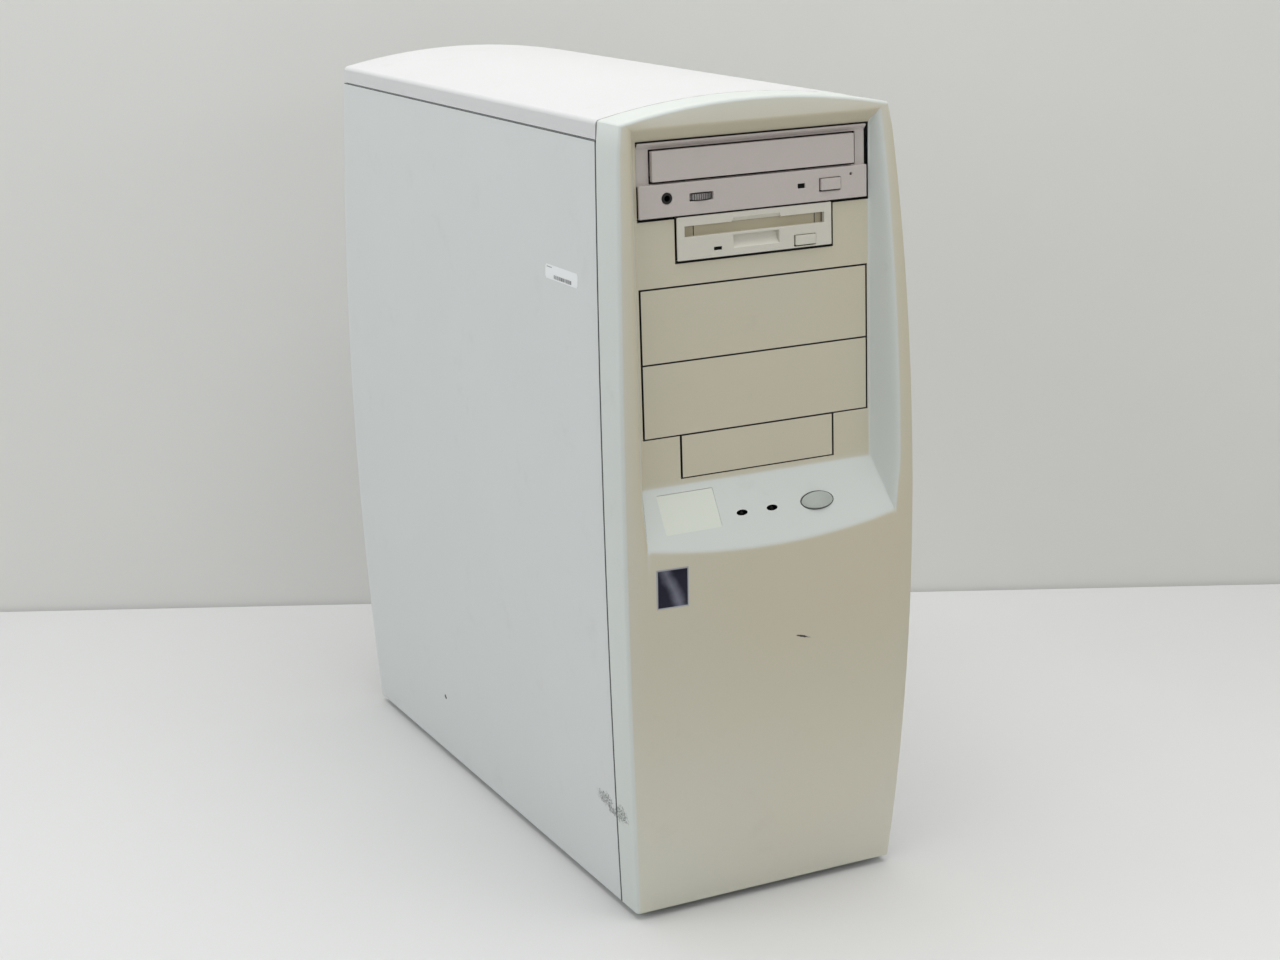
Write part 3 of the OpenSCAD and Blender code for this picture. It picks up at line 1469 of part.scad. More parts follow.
// The flap behind the slot turns inward on two pins at its top
module floppy_door() place() color("#bdb7a6") {
    w = slot_w / 2 - 0.6;
    span([-w, w], [door_y, door_y + door_t], [disk_z - slot_h / 2 - 0.5, door_top + 0.5]);
    rod_x([-w - 2.2, w + 2.2], door_y + door_t / 2, door_top, door_pin_r, $fn = 32);
}

module floppy_eject_button() place() color("#cdc7b4") {
    w = fd_button_w / 2;
    h = fd_button_h / 2;
    translate([fd_button_x, 0, fd_button_z]) {
        span([-w, w], [fd_face - 0.7, fd_back + 2], [-h, h]);
        span([-2, 2], [fd_back + 1, fd_back + fd_button_travel + 11], [-1.2, 1.2]);
    }
}

// Frame of the floppy mechanism below and beside the disk's path
module floppy_deck() place() color("#8a8e92") {
    t = 0.8;
    x = fd_w / 2 - t;
    bottom = fd_low + t;
    y = [fd_back + 20, fd_y1 - 12];
    ear_x = [slot_w / 2 + 0.4, slot_w / 2 + 2.5];
    span([-x, x], y, [bottom, bottom + 1.5]);
    both_sides() {
        span([x - 2.4, x], y, [bottom, disk_z + 6]);
        difference() {
            union() {
                span(ear_x, [fd_back + 0.2, fd_back + 21], [bottom, door_top + 2]);
                span(ear_x, [fd_back - fd_hollow + 0.3, fd_back + 21], [door_top - 4, door_top + 2]);
            }
            rod_x([ear_x[0] - 1, ear_x[1] - 0.6], door_y + door_t / 2, door_top, door_pin_r + shaft_gap,
                $fn = 32);
        }
    }
    rod_z(0, fd_back + 86, [bottom + 1, disk_z - slot_h / 2 - 0.6], 14);
    span([-18, 18], [fd_y1 - 40, fd_y1 - 12], [bottom + 1, disk_z - 3.5]);
}

module drive_lamps() place() color("#4a4632") {
    span([cd_lamp_x - 2.2, cd_lamp_x + 2.2], [cd_face + 1, cd_back + 3],
        [cd_lamp_z - 1.3, cd_lamp_z + 1.3]);
    span([cd_lamp_x - 3, cd_lamp_x + 3], [cd_back + 2.5, cd_back + 6], [deck_top, cd_lamp_z + 1.3]);
    span([fd_lamp_x - 2.4, fd_lamp_x + 2.4], [fd_face + 0.8, fd_back + 3],
        [fd_lamp_z - 0.9, fd_lamp_z + 0.9]);
    span([fd_lamp_x - 3, fd_lamp_x + 3], [fd_back + 2.5, fd_back + 6], [fd_low + 0.8, fd_lamp_z + 0.9]);
}

// ---- Loose fittings ----

speaker_r = 28;

module speaker() place() color("#2b2b2d") {
    z = 108;
    translate([0, frame_back, z]) rotate([-90, 0, 0]) {
        difference() {
            cylinder(r = speaker_r, h = 3);
            translate([0, 0, -1]) cylinder(r1 = speaker_r - 3, r2 = speaker_r - 8, h = 5);
        }
        translate([0, 0, 2.5]) cylinder(r1 = speaker_r - 4, r2 = 14, h = 10);
        translate([0, 0, 12]) cylinder(r = 15, h = 9);
    }
}

// Flat cable with its plug, from the plug's face at y0 back and down to z1
module ribbon(x, w, y0, z, z1) {
    t = 1;
    drop = 14;
    y1 = y0 + drop;
    cable = w - 4;
    span([x - w / 2 + plug_gap, x + w / 2 - plug_gap], [y0, y1 - 5],
        [z + plug_gap - plug_h / 2, z - plug_gap + plug_h / 2]);
    along_x([x - cable / 2, x + cable / 2]) polygon([
        [y0 + t, z], [y1, z], [y1 + 4, z - 4], [y1 + 4, z1],
        [y1 + 4 - t, z1], [y1 + 4 - t, z - 3.6], [y1 - 0.4, z - t], [y0 + t, z - t]
    ]);
}

module ribbon_cables() place() color("#b7b9bd") {
    ribbon(cd_plug_x, cd_plug_w, cd_y1 - cd_wall, cd_plug_z, board_z + 220);
    ribbon(fd_plug_x, fd_plug_w, fd_y1 - cd_wall, fd_plug_z, board_z + 240);
    ribbon(hd_plug_x, cd_plug_w, hd_y0 + hd_d + 4.3, hd_z0 + 6.5, board_z + 130);
}

front_bezel();
name_plate();
case_badge();
power_button();
power_switch();
status_lamps();
bay_blank_upper();
bay_blank_lower();
bay_blank_small();
top_cover();
left_side_panel();
left_panel_screws();
right_side_panel();
right_panel_screws();
feet();
base_pan();
front_frame();
rear_panel();
top_frame();
board_tray();
drive_cage();
floppy_bracket();
hard_drive_cage();
slot_covers();
rear_screws();
io_shield();
psu_case();
psu_circuit();
psu_fan_guard();
psu_fan_frame();
psu_fan_rotor();
mains_inlet();
voltage_slider();
main_board();
expansion_sockets();
memory_modules();
processor_cartridge();
processor_fan_rotor();
rear_ports();
video_card();
sound_card();
sound_jacks();
hard_drive();
cd_case();
cd_bezel();
cd_deck();
cd_tray();
cd_eject_button();
cd_volume_wheel();
cd_headphone_jack();
cd_turntable();
cd_laser_sled();
floppy_case();
floppy_bezel();
floppy_deck();
floppy_door();
floppy_eject_button();
drive_lamps();
speaker();
ribbon_cables();
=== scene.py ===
"""Looks of the vintage tower computer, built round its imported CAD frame."""

import functools
import math

import bmesh
import bpy
from bpy.props import FloatProperty, FloatVectorProperty, IntProperty, PointerProperty
from bpy.types import Operator, Panel, PropertyGroup
from mathutils import Matrix, Vector
from mathutils.geometry import delaunay_2d_cdt


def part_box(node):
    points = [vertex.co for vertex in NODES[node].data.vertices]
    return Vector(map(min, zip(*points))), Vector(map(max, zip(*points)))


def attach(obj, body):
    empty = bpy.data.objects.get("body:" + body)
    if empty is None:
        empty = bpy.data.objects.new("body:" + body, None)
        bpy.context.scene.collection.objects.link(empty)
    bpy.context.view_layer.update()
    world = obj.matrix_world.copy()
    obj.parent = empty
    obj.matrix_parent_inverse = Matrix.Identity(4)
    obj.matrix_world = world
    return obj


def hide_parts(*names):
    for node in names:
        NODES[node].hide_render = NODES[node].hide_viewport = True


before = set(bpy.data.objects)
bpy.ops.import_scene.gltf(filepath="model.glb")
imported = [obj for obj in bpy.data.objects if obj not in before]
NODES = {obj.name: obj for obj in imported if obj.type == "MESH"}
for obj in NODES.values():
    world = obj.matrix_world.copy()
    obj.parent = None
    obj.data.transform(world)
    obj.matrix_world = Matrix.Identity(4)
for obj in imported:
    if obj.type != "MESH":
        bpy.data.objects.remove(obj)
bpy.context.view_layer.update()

bl_info = {
    "name": "Vintage tower computer",
    "version": (1, 0, 0),
    "blender": (4, 5, 0),
    "location": "View3D > Sidebar > Tower",
    "description": "Moulded, painted and plated finishes for a mid tower computer",
    "category": "Object",
}

# Sizes of the case in millimetres, in its own frame: z = 0 is the bottom edge of the
# walls and y = 0 is where the bezel meets the top cover.
CASE_H = 474.0
CASE_W = 176.0
SIDE_BOW = 9.0
TOP_RISE = 9.5
SEAM_BOW = 13.0
BEZEL_FOOT = 23.0
BEZEL_HEAD = 28.0
FRONT_BOW = 19.0
CROWN = 4.1
CROWN_HALF = 82.0
FACE_Y = -22.0
FLOOR_HALF = 76.5
FLARE = 0.5
FLARE_LOW = 0.34
ROOF_RISE = 1.07
ROOF_Z = 463.1
SHELF_Z = 263.0
SHELF_ANGLE = math.radians(59.7)
SEAM_GAP = 0.6
CORNER = 3.0
FOOT_H = 4.5

MID_Z = CASE_H / 2
BAYS = (
    # left, right, low and high edges of each opening in the recess floor
    (-74.5, 76.0, 417.9, 463.0),
    (-51.3, 52.0, 392.3, 417.9),
    (-74.9, 74.9, 292.1, 379.8),
    (-51.3, 51.3, 266.4, 292.1),
)

BLANKS = {
    # half width, low and high edge of each blank's face
    "bay_blank_upper": (73.95, 336.15, 379.05),
    "bay_blank_lower": (73.95, 292.75, 335.65),
    "bay_blank_small": (50.25, 266.95, 292.25),
}

# The drive fronts, in the same frame
CD_HALF = 74.0
CD_Z = (419.7, 462.1)
CD_FACE = -24.0
CD_STEP_Z = 438.5
CD_STEP_Y = -21.0
CD_BROW_Y = -23.5
CD_BROW_Z = (458.8, CD_Z[1] - 0.8)
TRAY_HALF = 65.3
TRAY_TOP = 457.3
FD_HALF = 50.3
FD_Z = (393.9, 418.7)
FD_FACE = -23.5
SLOT_HALF = 45.5
SLOT_Z = (407.1, 413.3)
SCOOP_X = (-14.5, 15.5)
SCOOP_Z = (398.1, 405.8)
SCOOP_R = 8.0
SCOOP_DEPTH = 2.8
SCOOP_DROP = 9.1
NOTCH_X = (-14.1, 15.8)
NOTCH_RISE = 2.1
NOTCH_SLANT = 1.2
NOTCH_DEPTHS = (2.4, 0.4)
DRIVE_BACK = -18.0
DRIVE_CORNER = 0.6

# Where the card brackets start, and the plugs behind them
BRACKET_Y = 405.4
PLUG_Y = BRACKET_Y + 1.2

# Share of each colour that the arched top's paint keeps, which leaves it a little warmer than the sides
TOP_TINT_SHARES = (1.0, 0.965, 0.98)

# Near lower corner of the asset label on the left side, and in metres from there the ends of its
# bars and of its rule
LABEL_Y = 19.2
LABEL_Z = 376.5
BARS_ALONG = (0.0085, 0.0335)
RULE_ALONG = (0.036, 0.0435)
RULE_UP = (0.0068, 0.0074)

# Middle and size of the badge, its bright border and its rolled rim
BADGE_X = -68.0
BADGE_Z = 208.0
BADGE_W = 20.0
BADGE_H = 24.0
BADGE_BORDER = 0.7
BADGE_ROLL = 0.4

# In metres: the middle of the slot's door, how far from it the stops at its ends begin, and the
# pitch of the volume wheel's ribs
DOOR_MIDDLE = 0.001
DOOR_STOP = 0.0395
RIB_PITCH = 0.0013


def arc_radius(chord, rise):
    return (chord * chord / 4 + rise * rise) / (2 * rise)


SIDE_R = arc_radius(CASE_H, SIDE_BOW)
TOP_R = arc_radius(CASE_W, TOP_RISE)
SEAM_R = arc_radius(CASE_H, SEAM_BOW)
LEAN = BEZEL_FOOT - BEZEL_HEAD
FRONT_CHORD = math.hypot(LEAN, CASE_H)
FRONT_R = arc_radius(FRONT_CHORD, FRONT_BOW)
FRONT_CY = CASE_H / FRONT_CHORD * (FRONT_R - FRONT_BOW) - (BEZEL_FOOT + BEZEL_HEAD) / 2
FRONT_CZ = MID_Z - LEAN / FRONT_CHORD * (FRONT_R - FRONT_BOW)
CENTRE_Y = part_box("front_bezel")[0].y * 1000 - (FRONT_CY - FRONT_R)


def side_x(z):
    """Half width of the case at a height."""
    return CASE_W / 2 + SIDE_BOW - SIDE_R + math.sqrt(SIDE_R**2 - (z - MID_Z) ** 2)


def top_z(x):
    """Height of the arched top."""
    return CASE_H + TOP_RISE - TOP_R + math.sqrt(TOP_R**2 - x * x)


def seam_y(z):
    """Where the bezel meets the side panels."""
    return SEAM_R - SEAM_BOW - math.sqrt(SEAM_R**2 - (z - MID_Z) ** 2)


def front_y(x, z):
    """The crowned front without its recess."""
    arc = FRONT_CY - math.sqrt(FRONT_R**2 - (z - FRONT_CZ) ** 2)
    fade = max(0.0, 1 - ((z - MID_Z) / MID_Z) ** 2)
    return arc + CROWN * (x / CROWN_HALF) ** 2 * fade


def row(x, y, z):
    """A point of the case's own frame, in metres in the shared frame."""
    return Vector((x, y + CENTRE_Y, z + FOOT_H)) / 1000


def on_shelf(x, down, out=0.0):
    """A point of the control shelf, in the case's own frame."""
    c, s = math.cos(SHELF_ANGLE), math.sin(SHELF_ANGLE)
    return x, FACE_Y - down * c - out * s, SHELF_Z - down * s + out * c


def linear(r, g, b):
    """A colour given in 0 to 255 steps, as linear light."""
    steps = [c / 255 for c in (r, g, b)]
    return tuple(c / 12.92 if c <= 0.04045 else ((c + 0.055) / 1.055) ** 2.4 for c in steps)


# ---- Sizes and colours that a user may change ----


def length(name, text, millimetres, top):
    default, limit = millimetres / 1000, top / 1000
    return FloatProperty(name=name, description=text, default=default, min=0.0, max=limit, unit="LENGTH")


def colour(name, text, value):
    return FloatVectorProperty(
        name=name, description=text, default=value, size=3, min=0.0, max=1.0, subtype="COLOR"
    )


class TowerSizes(PropertyGroup):
    edge_radius: length("Edge radius", "Round of the bezel's outer edges", 2.2, 6)
    foot_radius: length("Foot edge radius", "Round of the bezel's bottom edge", 1.4, 3)
    wall: length("Bezel wall", "Wall thickness of the bezel", 2.6, 4)
    lip_radius: length("Drive front edge", "Round of the edges of drive fronts and blanks", 0.35, 1)
    panel_radius: length("Panel edge", "Round of the folded steel edges", 0.5, 1)
    mouth_soft: length("Recess lip", "Softness of the recess's side lips", 5.0, 8)
    label_w: length("Label width", "Width of the asset label", 45.4, 80)
    label_h: length("Label height", "Height of the asset label", 8.5, 40)
    columns: IntProperty(name="Label bars", description="Bars on the label", default=18, min=4, max=60)


class TowerColours(PropertyGroup):
    plastic: colour("Bezel plastic", "Fresh off-white plastic of the bezel", linear(208, 213, 209))
    # Colour of the front's faces: yellowed plastic together with painted warm light falling from the front
    aged_and_warm_lit: colour("Aged plastic", "Plastic of the front after years of light", linear(201, 194, 171))
    drive: colour("CD drive plastic", "Pinkish grey plastic of the CD drive", linear(195, 187, 182))
    floppy: colour("Floppy plastic", "Cream plastic of the floppy drive", linear(211, 208, 196))
    paint: colour("Cover paint", "Paint of the steel covers", linear(212, 215, 214))
    button: colour("Power button", "Grey plastic of the power button", linear(172, 178, 172))
    steel: colour("Chassis steel", "Zinc plated chassis steel", linear(176, 180, 182))
    table: colour("Table", "Table top under the machine", linear(218, 218, 217))
    wall: colour("Wall", "Wall behind the machine", linear(222, 222, 218))


# ---- Shader groups and materials ----

# Painted shade in the joints round fronts and behind them
JOINT_SHADE = linear(15, 14, 12)
# Painted shade along the side panels' seams with the bezel and the top cover
SEAM_SHADE = linear(84, 88, 86)
DUST_TINT = (0.36, 0.34, 0.30)
# Widths of a side panel's shaded edges in metres: along the bezel, under the top cover and on it
SEAM_WIDTH = 0.0012
EAVE_WIDTH = 0.0006
EAVE_ABOVE = 0.0002
# Ends of the side panels and of the top cover that face forwards, painted dark as the shade down in their
# seams
PANEL_END_SHADE = (0.03, 0.03, 0.03)
TOP_END_SHADE = linear(176, 175, 174)


class Wiring:
    """A shader tree, with short ways to add nodes to it."""

    def __init__(self, tree):
        self.tree = tree

    @functools.cached_property
    def place(self):
        """The shaded point in the machine's frame."""
        return self.add("ShaderNodeTexCoord").outputs["Object"]

    @functools.cached_property
    def normal(self):
        return self.add("ShaderNodeNewGeometry").outputs["Normal"]

    def feed(self, node, values):
        """Sets or links inputs of a node, by name or number."""
        for key, value in values.items():
            socket = node.inputs[key]
            if isinstance(value, bpy.types.NodeSocket):
                self.tree.links.new(value, socket)
            else:
                socket.default_value = (*value[:3], 1.0) if socket.type == "RGBA" else value
        return node

    def add(self, kind, values=None, **settings):
        """A new node with its settings and inputs."""
        made = self.tree.nodes.new(kind)
        for name, value in settings.items():
            setattr(made, name, value)
        return self.feed(made, values or {})

    def maths(self, operation, *values, clamp=False):
        made = self.add("ShaderNodeMath", dict(enumerate(values)), operation=operation, use_clamp=clamp)
        return made.outputs[0]

    def vector(self, operation, *values):
        """A vector, or the number that a length or a dot product gives."""
        made = self.add("ShaderNodeVectorMath", dict(enumerate(values)), operation=operation)
        return made.outputs["Value" if operation in ("DOT_PRODUCT", "LENGTH") else "Vector"]

    def parts(self, vector):
        """The x, y and z of a vector."""
        return self.add("ShaderNodeSeparateXYZ", {0: vector}).outputs

    def joined(self, x, y, z):
        return self.add("ShaderNodeCombineXYZ", {0: x, 1: y, 2: z}).outputs[0]

    def noise(self, scale, detail, roughness=0.5, output=0):
        values = {"Vector": self.place, "Scale": scale, "Detail": detail, "Roughness": roughness}
        return self.add("ShaderNodeTexNoise", values).outputs[output]

    def ramp(self, value, low, high):
        """0 below low, 1 above high, smooth between."""
        values = {0: value, 1: low, 2: high}
        return self.add("ShaderNodeMapRange", values, interpolation_type="SMOOTHSTEP").outputs[0]

    def within(self, value, low, high):
        """1 between low and high, 0 elsewhere."""
        above = self.maths("GREATER_THAN", value, low)
        return self.maths("MULTIPLY", above, self.maths("LESS_THAN", value, high))

    def blend(self, factor, first, second, kind="MIX"):
        values = {0: factor, 6: first, 7: second}
        return self.add("ShaderNodeMix", values, data_type="RGBA", blend_type=kind).outputs[2]

    def toned(self, tint, tone, depth):
        """A colour made lighter and darker by a tone of 0 to 1."""
        shade = self.maths("MULTIPLY_ADD", tone, depth, 1 - depth / 2)
        return self.blend(1.0, tint, self.joined(shade, shade, shade), "MULTIPLY")

    def shared(self, maker, **values):
        """The outputs of a shared group placed in this material."""
        return self.add("ShaderNodeGroup", values, node_tree=maker()).outputs

    def give(self, **outputs):
        """Ends a shader group: its outputs are made and linked."""
        for name in outputs:
            kind = "NodeSocketColor" if name == "Color" else "NodeSocketFloat"
            self.tree.interface.new_socket(name=name, in_out="OUTPUT", socket_type=kind)
        self.add("NodeGroupOutput", outputs)
        return self.tree


def group(name, **inputs):
    """The wiring of a new shader group and its inputs, whose defaults show their kinds."""
    tree = bpy.data.node_groups.new(name, "ShaderNodeTree")
    for label, value in inputs.items():
        kind = "Float" if isinstance(value, float) else {3: "Vector", 4: "Color"}[len(value)]
        socket = tree.interface.new_socket(name=label, in_out="INPUT", socket_type="NodeSocket" + kind)
        socket.default_value = value
    return Wiring(tree), tree.nodes.new("NodeGroupInput").outputs


@functools.cache
def moulded_grain():
    """Fine spark-eroded grain of moulded plastic, with slow unevenness of tone."""
    w, given = group("Moulded grain", Pitch=0.0006)
    grain = w.noise(w.maths("DIVIDE", 1.0, given["Pitch"]), 1.5, 0.6)
    return w.give(Height=grain, Tone=w.maths("MULTIPLY_ADD", w.noise(14.0, 4.0, 0.55), 0.5, 0.25))


@functools.cache
def ageing_and_painted_warm_light():
    """Yellowing and painted warm light where a face looks out of the front, uneven as old plastic is; less
    of both towards the bottom, as painted bounce light from the table.
    """
    w, given = group("Ageing and painted warm light", Fresh=(0.8, 0.8, 0.8, 1), Aged=(0.7, 0.65, 0.5, 1))
    # Faces turned this way, out of the front, get the yellowing and the painted warm light
    light = (0.35, -0.85, -0.40)
    front = w.ramp(w.vector("DOT_PRODUCT", w.normal, light), 0.58, 0.9)
    # Less of both towards the bottom: painted bounce light from the table
    high = w.ramp(w.parts(w.place)[2], 0.0, 0.24)
    least = w.maths("MULTIPLY_ADD", high, 0.38, 0.37)
    cloudy = w.maths("MULTIPLY_ADD", w.noise(7.0, 3.0), 0.5, least, clamp=True)
    mask = w.maths("MULTIPLY", front, cloudy, clamp=True)
    return w.give(Color=w.blend(mask, given["Fresh"], given["Aged"]))


@functools.cache
def handling_dust():
    """Grey dust on upward faces and faint smudges elsewhere."""
    w, given = group("Handling dust", Color=(0.8, 0.8, 0.8, 1), Amount=0.3)
    smudge = w.maths("MULTIPLY", w.ramp(w.noise(30.0, 6.0, 0.7), 0.56, 0.78), 0.6)
    settled = w.maths("MULTIPLY", w.ramp(w.parts(w.normal)[2], 0.2, 1.0), 0.25)
    mask = w.maths("MULTIPLY", w.maths("ADD", smudge, settled), given["Amount"], clamp=True)
    return w.give(Color=w.blend(mask, given["Color"], DUST_TINT))


@functools.cache
def rub_mark():
    """A rubbed or dirty patch around one point of the machine, longer along one direction."""
    w, given = group(
        "Rub mark", Centre=(0, 0, 0), Reach=(0.01, 0.01, 0.01), Strength=1.0, Slant=0.0, Broken=0.0
    )
    x, y, z = w.parts(w.vector("SUBTRACT", w.place, given["Centre"]))
    turned = w.joined(x, y, w.maths("MULTIPLY_ADD", x, given["Slant"], z))
    span = w.vector("LENGTH", w.vector("DIVIDE", turned, given["Reach"]))
    uneven = w.maths("MULTIPLY_ADD", w.noise(420.0, 5.0, 0.7), -1.9, span)
    near = w.maths("SUBTRACT", 1.0, w.ramp(uneven, -0.42, -0.02))
    missing = w.maths("MULTIPLY", w.ramp(w.noise(900.0, 3.0), 0.46, 0.58), given["Broken"])
    kept = w.maths("MULTIPLY", near, w.maths("SUBTRACT", 1.0, missing))
    return w.give(Mask=w.maths("MULTIPLY", kept, given["Strength"], clamp=True))


@functools.cache
def gap_shade():
    """Painted shade in the joints round a front: near its outline or behind a depth."""
    w, given = group("Gap shade", Centre=(0, 0, 0), Half=(0, 0, 0), Front=0.0, Inside=1.0)
    away = w.vector("ABSOLUTE", w.vector("SUBTRACT", w.place, given["Centre"]))
    past = w.parts(w.vector("SUBTRACT", away, given["Half"]))
    edge = w.maths("GREATER_THAN", w.maths("MAXIMUM", past[0], past[2]), -0.00025)
    deep = w.parts(w.place)[1]
    behind = w.maths("MULTIPLY", edge, w.maths("GREATER_THAN", deep, given["Front"]))
    return w.give(Mask=w.maths("MAXIMUM", behind, w.maths("GREATER_THAN", deep, given["Inside"])))


@functools.cache
def seam_edge():
    """The shaded edges of a side panel, along the curved end of the bezel and under the top cover."""
    w, _ = group("Seam edge")
    _, y, z = w.parts(w.place)
    centre = row(0, -SEAM_BOW, MID_Z)
    away = w.maths("SUBTRACT", z, centre.z)
    # The seam's arc, whose radius is in millimetres, taken as a parabola in metres
    curve = w.maths("MULTIPLY", w.maths("MULTIPLY", away, away), 500 / SEAM_R)
    past = w.maths("SUBTRACT", w.maths("SUBTRACT", y, centre.y), curve)
    down = w.maths("SUBTRACT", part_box("left_side_panel")[1].z, z)
    seam = w.maths("LESS_THAN", past, SEAM_WIDTH)
    near = w.maths("MAXIMUM", seam, w.maths("LESS_THAN", down, EAVE_WIDTH))
    near = w.maths("MULTIPLY", near, w.maths("GREATER_THAN", down, -EAVE_ABOVE))
    sideways = w.maths("ABSOLUTE", w.parts(w.normal)[0])
    return w.give(Mask=w.maths("MULTIPLY", near, w.maths("GREATER_THAN", sideways, 0.6)))


@functools.cache
def zinc_spangle():
    """Mottled crystals of zinc plated sheet."""
    w, given = group("Zinc spangle", Color=(0.5, 0.5, 0.5, 1), Depth=0.25)
    warp = w.noise(60.0, 2.0, output="Color")
    shifted = w.vector("MULTIPLY_ADD", warp, (0.006,) * 3, w.place)
    cells = w.add("ShaderNodeTexVoronoi", {"Vector": shifted, "Scale": 130.0})
    flake = w.add("ShaderNodeSeparateColor", {0: cells.outputs["Color"]}).outputs[0]
    tone = w.maths("MULTIPLY_ADD", flake, given["Depth"], 0.86)
    return w.give(
        Color=w.blend(1.0, given["Color"], w.joined(tone, tone, tone), "MULTIPLY"),
        Roughness=w.maths("MULTIPLY_ADD", flake, 0.16, 0.34),
        Height=flake,
    )


class Surface(Wiring):
    """A new material with a principled shader."""

    def __init__(self, name):
        self.material = bpy.data.materials.new(name)
        self.material.use_nodes = True
        super().__init__(self.material.node_tree)

    def coat(self, colour, roughness, height=None, strength=0.0, depth=0.0002, **values):
        """Feeds the shader, with a bump where there is a height, and gives the material."""
        named = {"Base Color": colour, "Roughness": roughness}
        named.update((key.replace("_", " "), value) for key, value in values.items())
        if height:
            relief = {"Height": height, "Strength": strength, "Distance": depth}
            named["Normal"] = self.add("ShaderNodeBump", relief).outputs[0]
        self.feed(self.tree.nodes["Principled BSDF"], named)
        return self.material


def marked(w, out, marks):
    """Lays rub marks over a colour."""
    for centre, reach, strength, tint, slant, broken in marks:
        mark = w.shared(rub_mark, Centre=centre, Reach=reach, Strength=strength, Slant=slant, Broken=broken)
        out = w.blend(mark["Mask"], out, tint)
    return out


def plastic(name, fresh, roughness, grain, dust, aged_and_warm_lit, marks, gap):
    """Moulded plastic: grain, yellowing with painted warm light on the front, dust, any rub marks and
    painted shade in the joints.
    """
    w = Surface(name)
    texture = w.shared(moulded_grain)
    tone = texture["Tone"]
    face = w.shared(ageing_and_painted_warm_light, Fresh=fresh, Aged=aged_and_warm_lit)["Color"] if aged_and_warm_lit else fresh
    out = w.shared(handling_dust, Color=w.toned(face, tone, 0.12), Amount=dust)["Color"]
    out = marked(w, out, marks)
    # Painted shade in the joints round the front and behind it
    if gap:
        mid_z, half_x, half_z, front, inside_y = gap
        mask = w.shared(
            gap_shade, Centre=row(0, 0, mid_z), Half=(half_x / 1000, 1, half_z / 1000),
            Front=row(0, front, 0).y, Inside=row(0, inside_y, 0).y,
        )["Mask"]
        out = w.blend(mask, out, JOINT_SHADE)
    matt = w.maths("MULTIPLY_ADD", tone, 0.10, roughness - 0.05)
    return w.coat(out, matt, texture["Height"], grain)


def painted(name, fresh, marks, end_shade):
    """Baked paint on sheet steel, with the faint orange peel of spraying."""
    w = Surface(name)
    texture = w.shared(moulded_grain, Pitch=0.0011)
    tone = texture["Tone"]
    out = w.shared(handling_dust, Color=w.toned(fresh, tone, 0.08), Amount=0.16)["Color"]
    out = marked(w, out, marks)
    # Painted shade on the ends that face forwards, down in the seams
    facing = w.maths("MULTIPLY", w.parts(w.normal)[1], -1.0)
    out = w.blend(w.ramp(facing, 0.75, 0.95), out, end_shade)
    # Painted shade along the seam with the bezel and under the top cover
    out = w.blend(w.shared(seam_edge)["Mask"], out, SEAM_SHADE)
    matt = w.maths("MULTIPLY_ADD", tone, 0.12, 0.49)
    return w.coat(out, matt, texture["Height"], 0.10, 0.00025, Specular_IOR_Level=0.3)


def plated(name, tint, depth, shine):
    """Plated sheet steel with its spangle."""
    w = Surface(name)
    sheet = w.shared(zinc_spangle, Color=tint, Depth=depth)
    rough = w.maths("SUBTRACT", sheet["Roughness"], shine)
    return w.coat(sheet["Color"], rough, sheet["Height"], 0.06, Metallic=0.85)


def circuit_board():
    """Green resist over fine copper tracks; behind it the cards' brackets and plugs."""
    w = Surface("Circuit board")
    tracks = w.add("ShaderNodeTexBrick", {
        "Vector": w.place, "Scale": 90.0, "Mortar Size": 0.07, "Color1": (0.02, 0.10, 0.035),
        "Color2": (0.025, 0.12, 0.04), "Mortar": (0.05, 0.22, 0.08),
    }).outputs
    shade = w.blend(0.25, tracks["Color"], w.noise(40.0, 3.0, output="Color"), "SOFT_LIGHT")
    back = w.parts(w.place)[1]
    bracket = w.maths("GREATER_THAN", back, row(0, BRACKET_Y, 0).y)
    plug = w.maths("GREATER_THAN", back, row(0, PLUG_Y, 0).y)
    sheet = w.shared(zinc_spangle, Color=linear(188, 191, 193), Depth=0.1)
    shade = w.blend(bracket, shade, sheet["Color"])
    metal = w.maths("MULTIPLY", w.maths("SUBTRACT", bracket, plug), 0.85)
    shade = w.blend(plug, shade, linear(46, 52, 84))
    return w.coat(shade, 0.36, tracks["Fac"], 0.15, 0.0001, Metallic=metal)


def lamp_lens():
    """Dark clear lens of an unlit lamp."""
    w = Surface("Lamp lens")
    shade = w.blend(w.noise(500.0, 2.0), linear(4, 5, 3), linear(12, 13, 9))
    return w.coat(shade, 0.5, Specular_IOR_Level=0.15)


def slot_door():
    """Plastic of the slot's door, darker than the front as painted shade inside the slot, with painted
    darker shade on the stops at its ends.
    """
    w = Surface("Slot door plastic")
    off_middle = w.maths("ABSOLUTE", w.maths("SUBTRACT", w.parts(w.place)[0], DOOR_MIDDLE))
    from_end = w.maths("SUBTRACT", off_middle, DOOR_STOP)
    stop = w.maths("GREATER_THAN", from_end, 0.0)
    # Painted shade: the door lies back in the slot, and its stops lie deeper still
    tinted = w.blend(stop, linear(186, 178, 152), linear(172, 163, 138))
    # A thin painted shade line where the door meets each stop
    line = w.maths("LESS_THAN", w.maths("ABSOLUTE", from_end), 0.0003)
    dusty = w.shared(handling_dust, Color=w.blend(line, tinted, JOINT_SHADE), Amount=0.25)["Color"]
    return w.coat(dusty, 0.5, w.shared(moulded_grain)["Height"], 0.14)


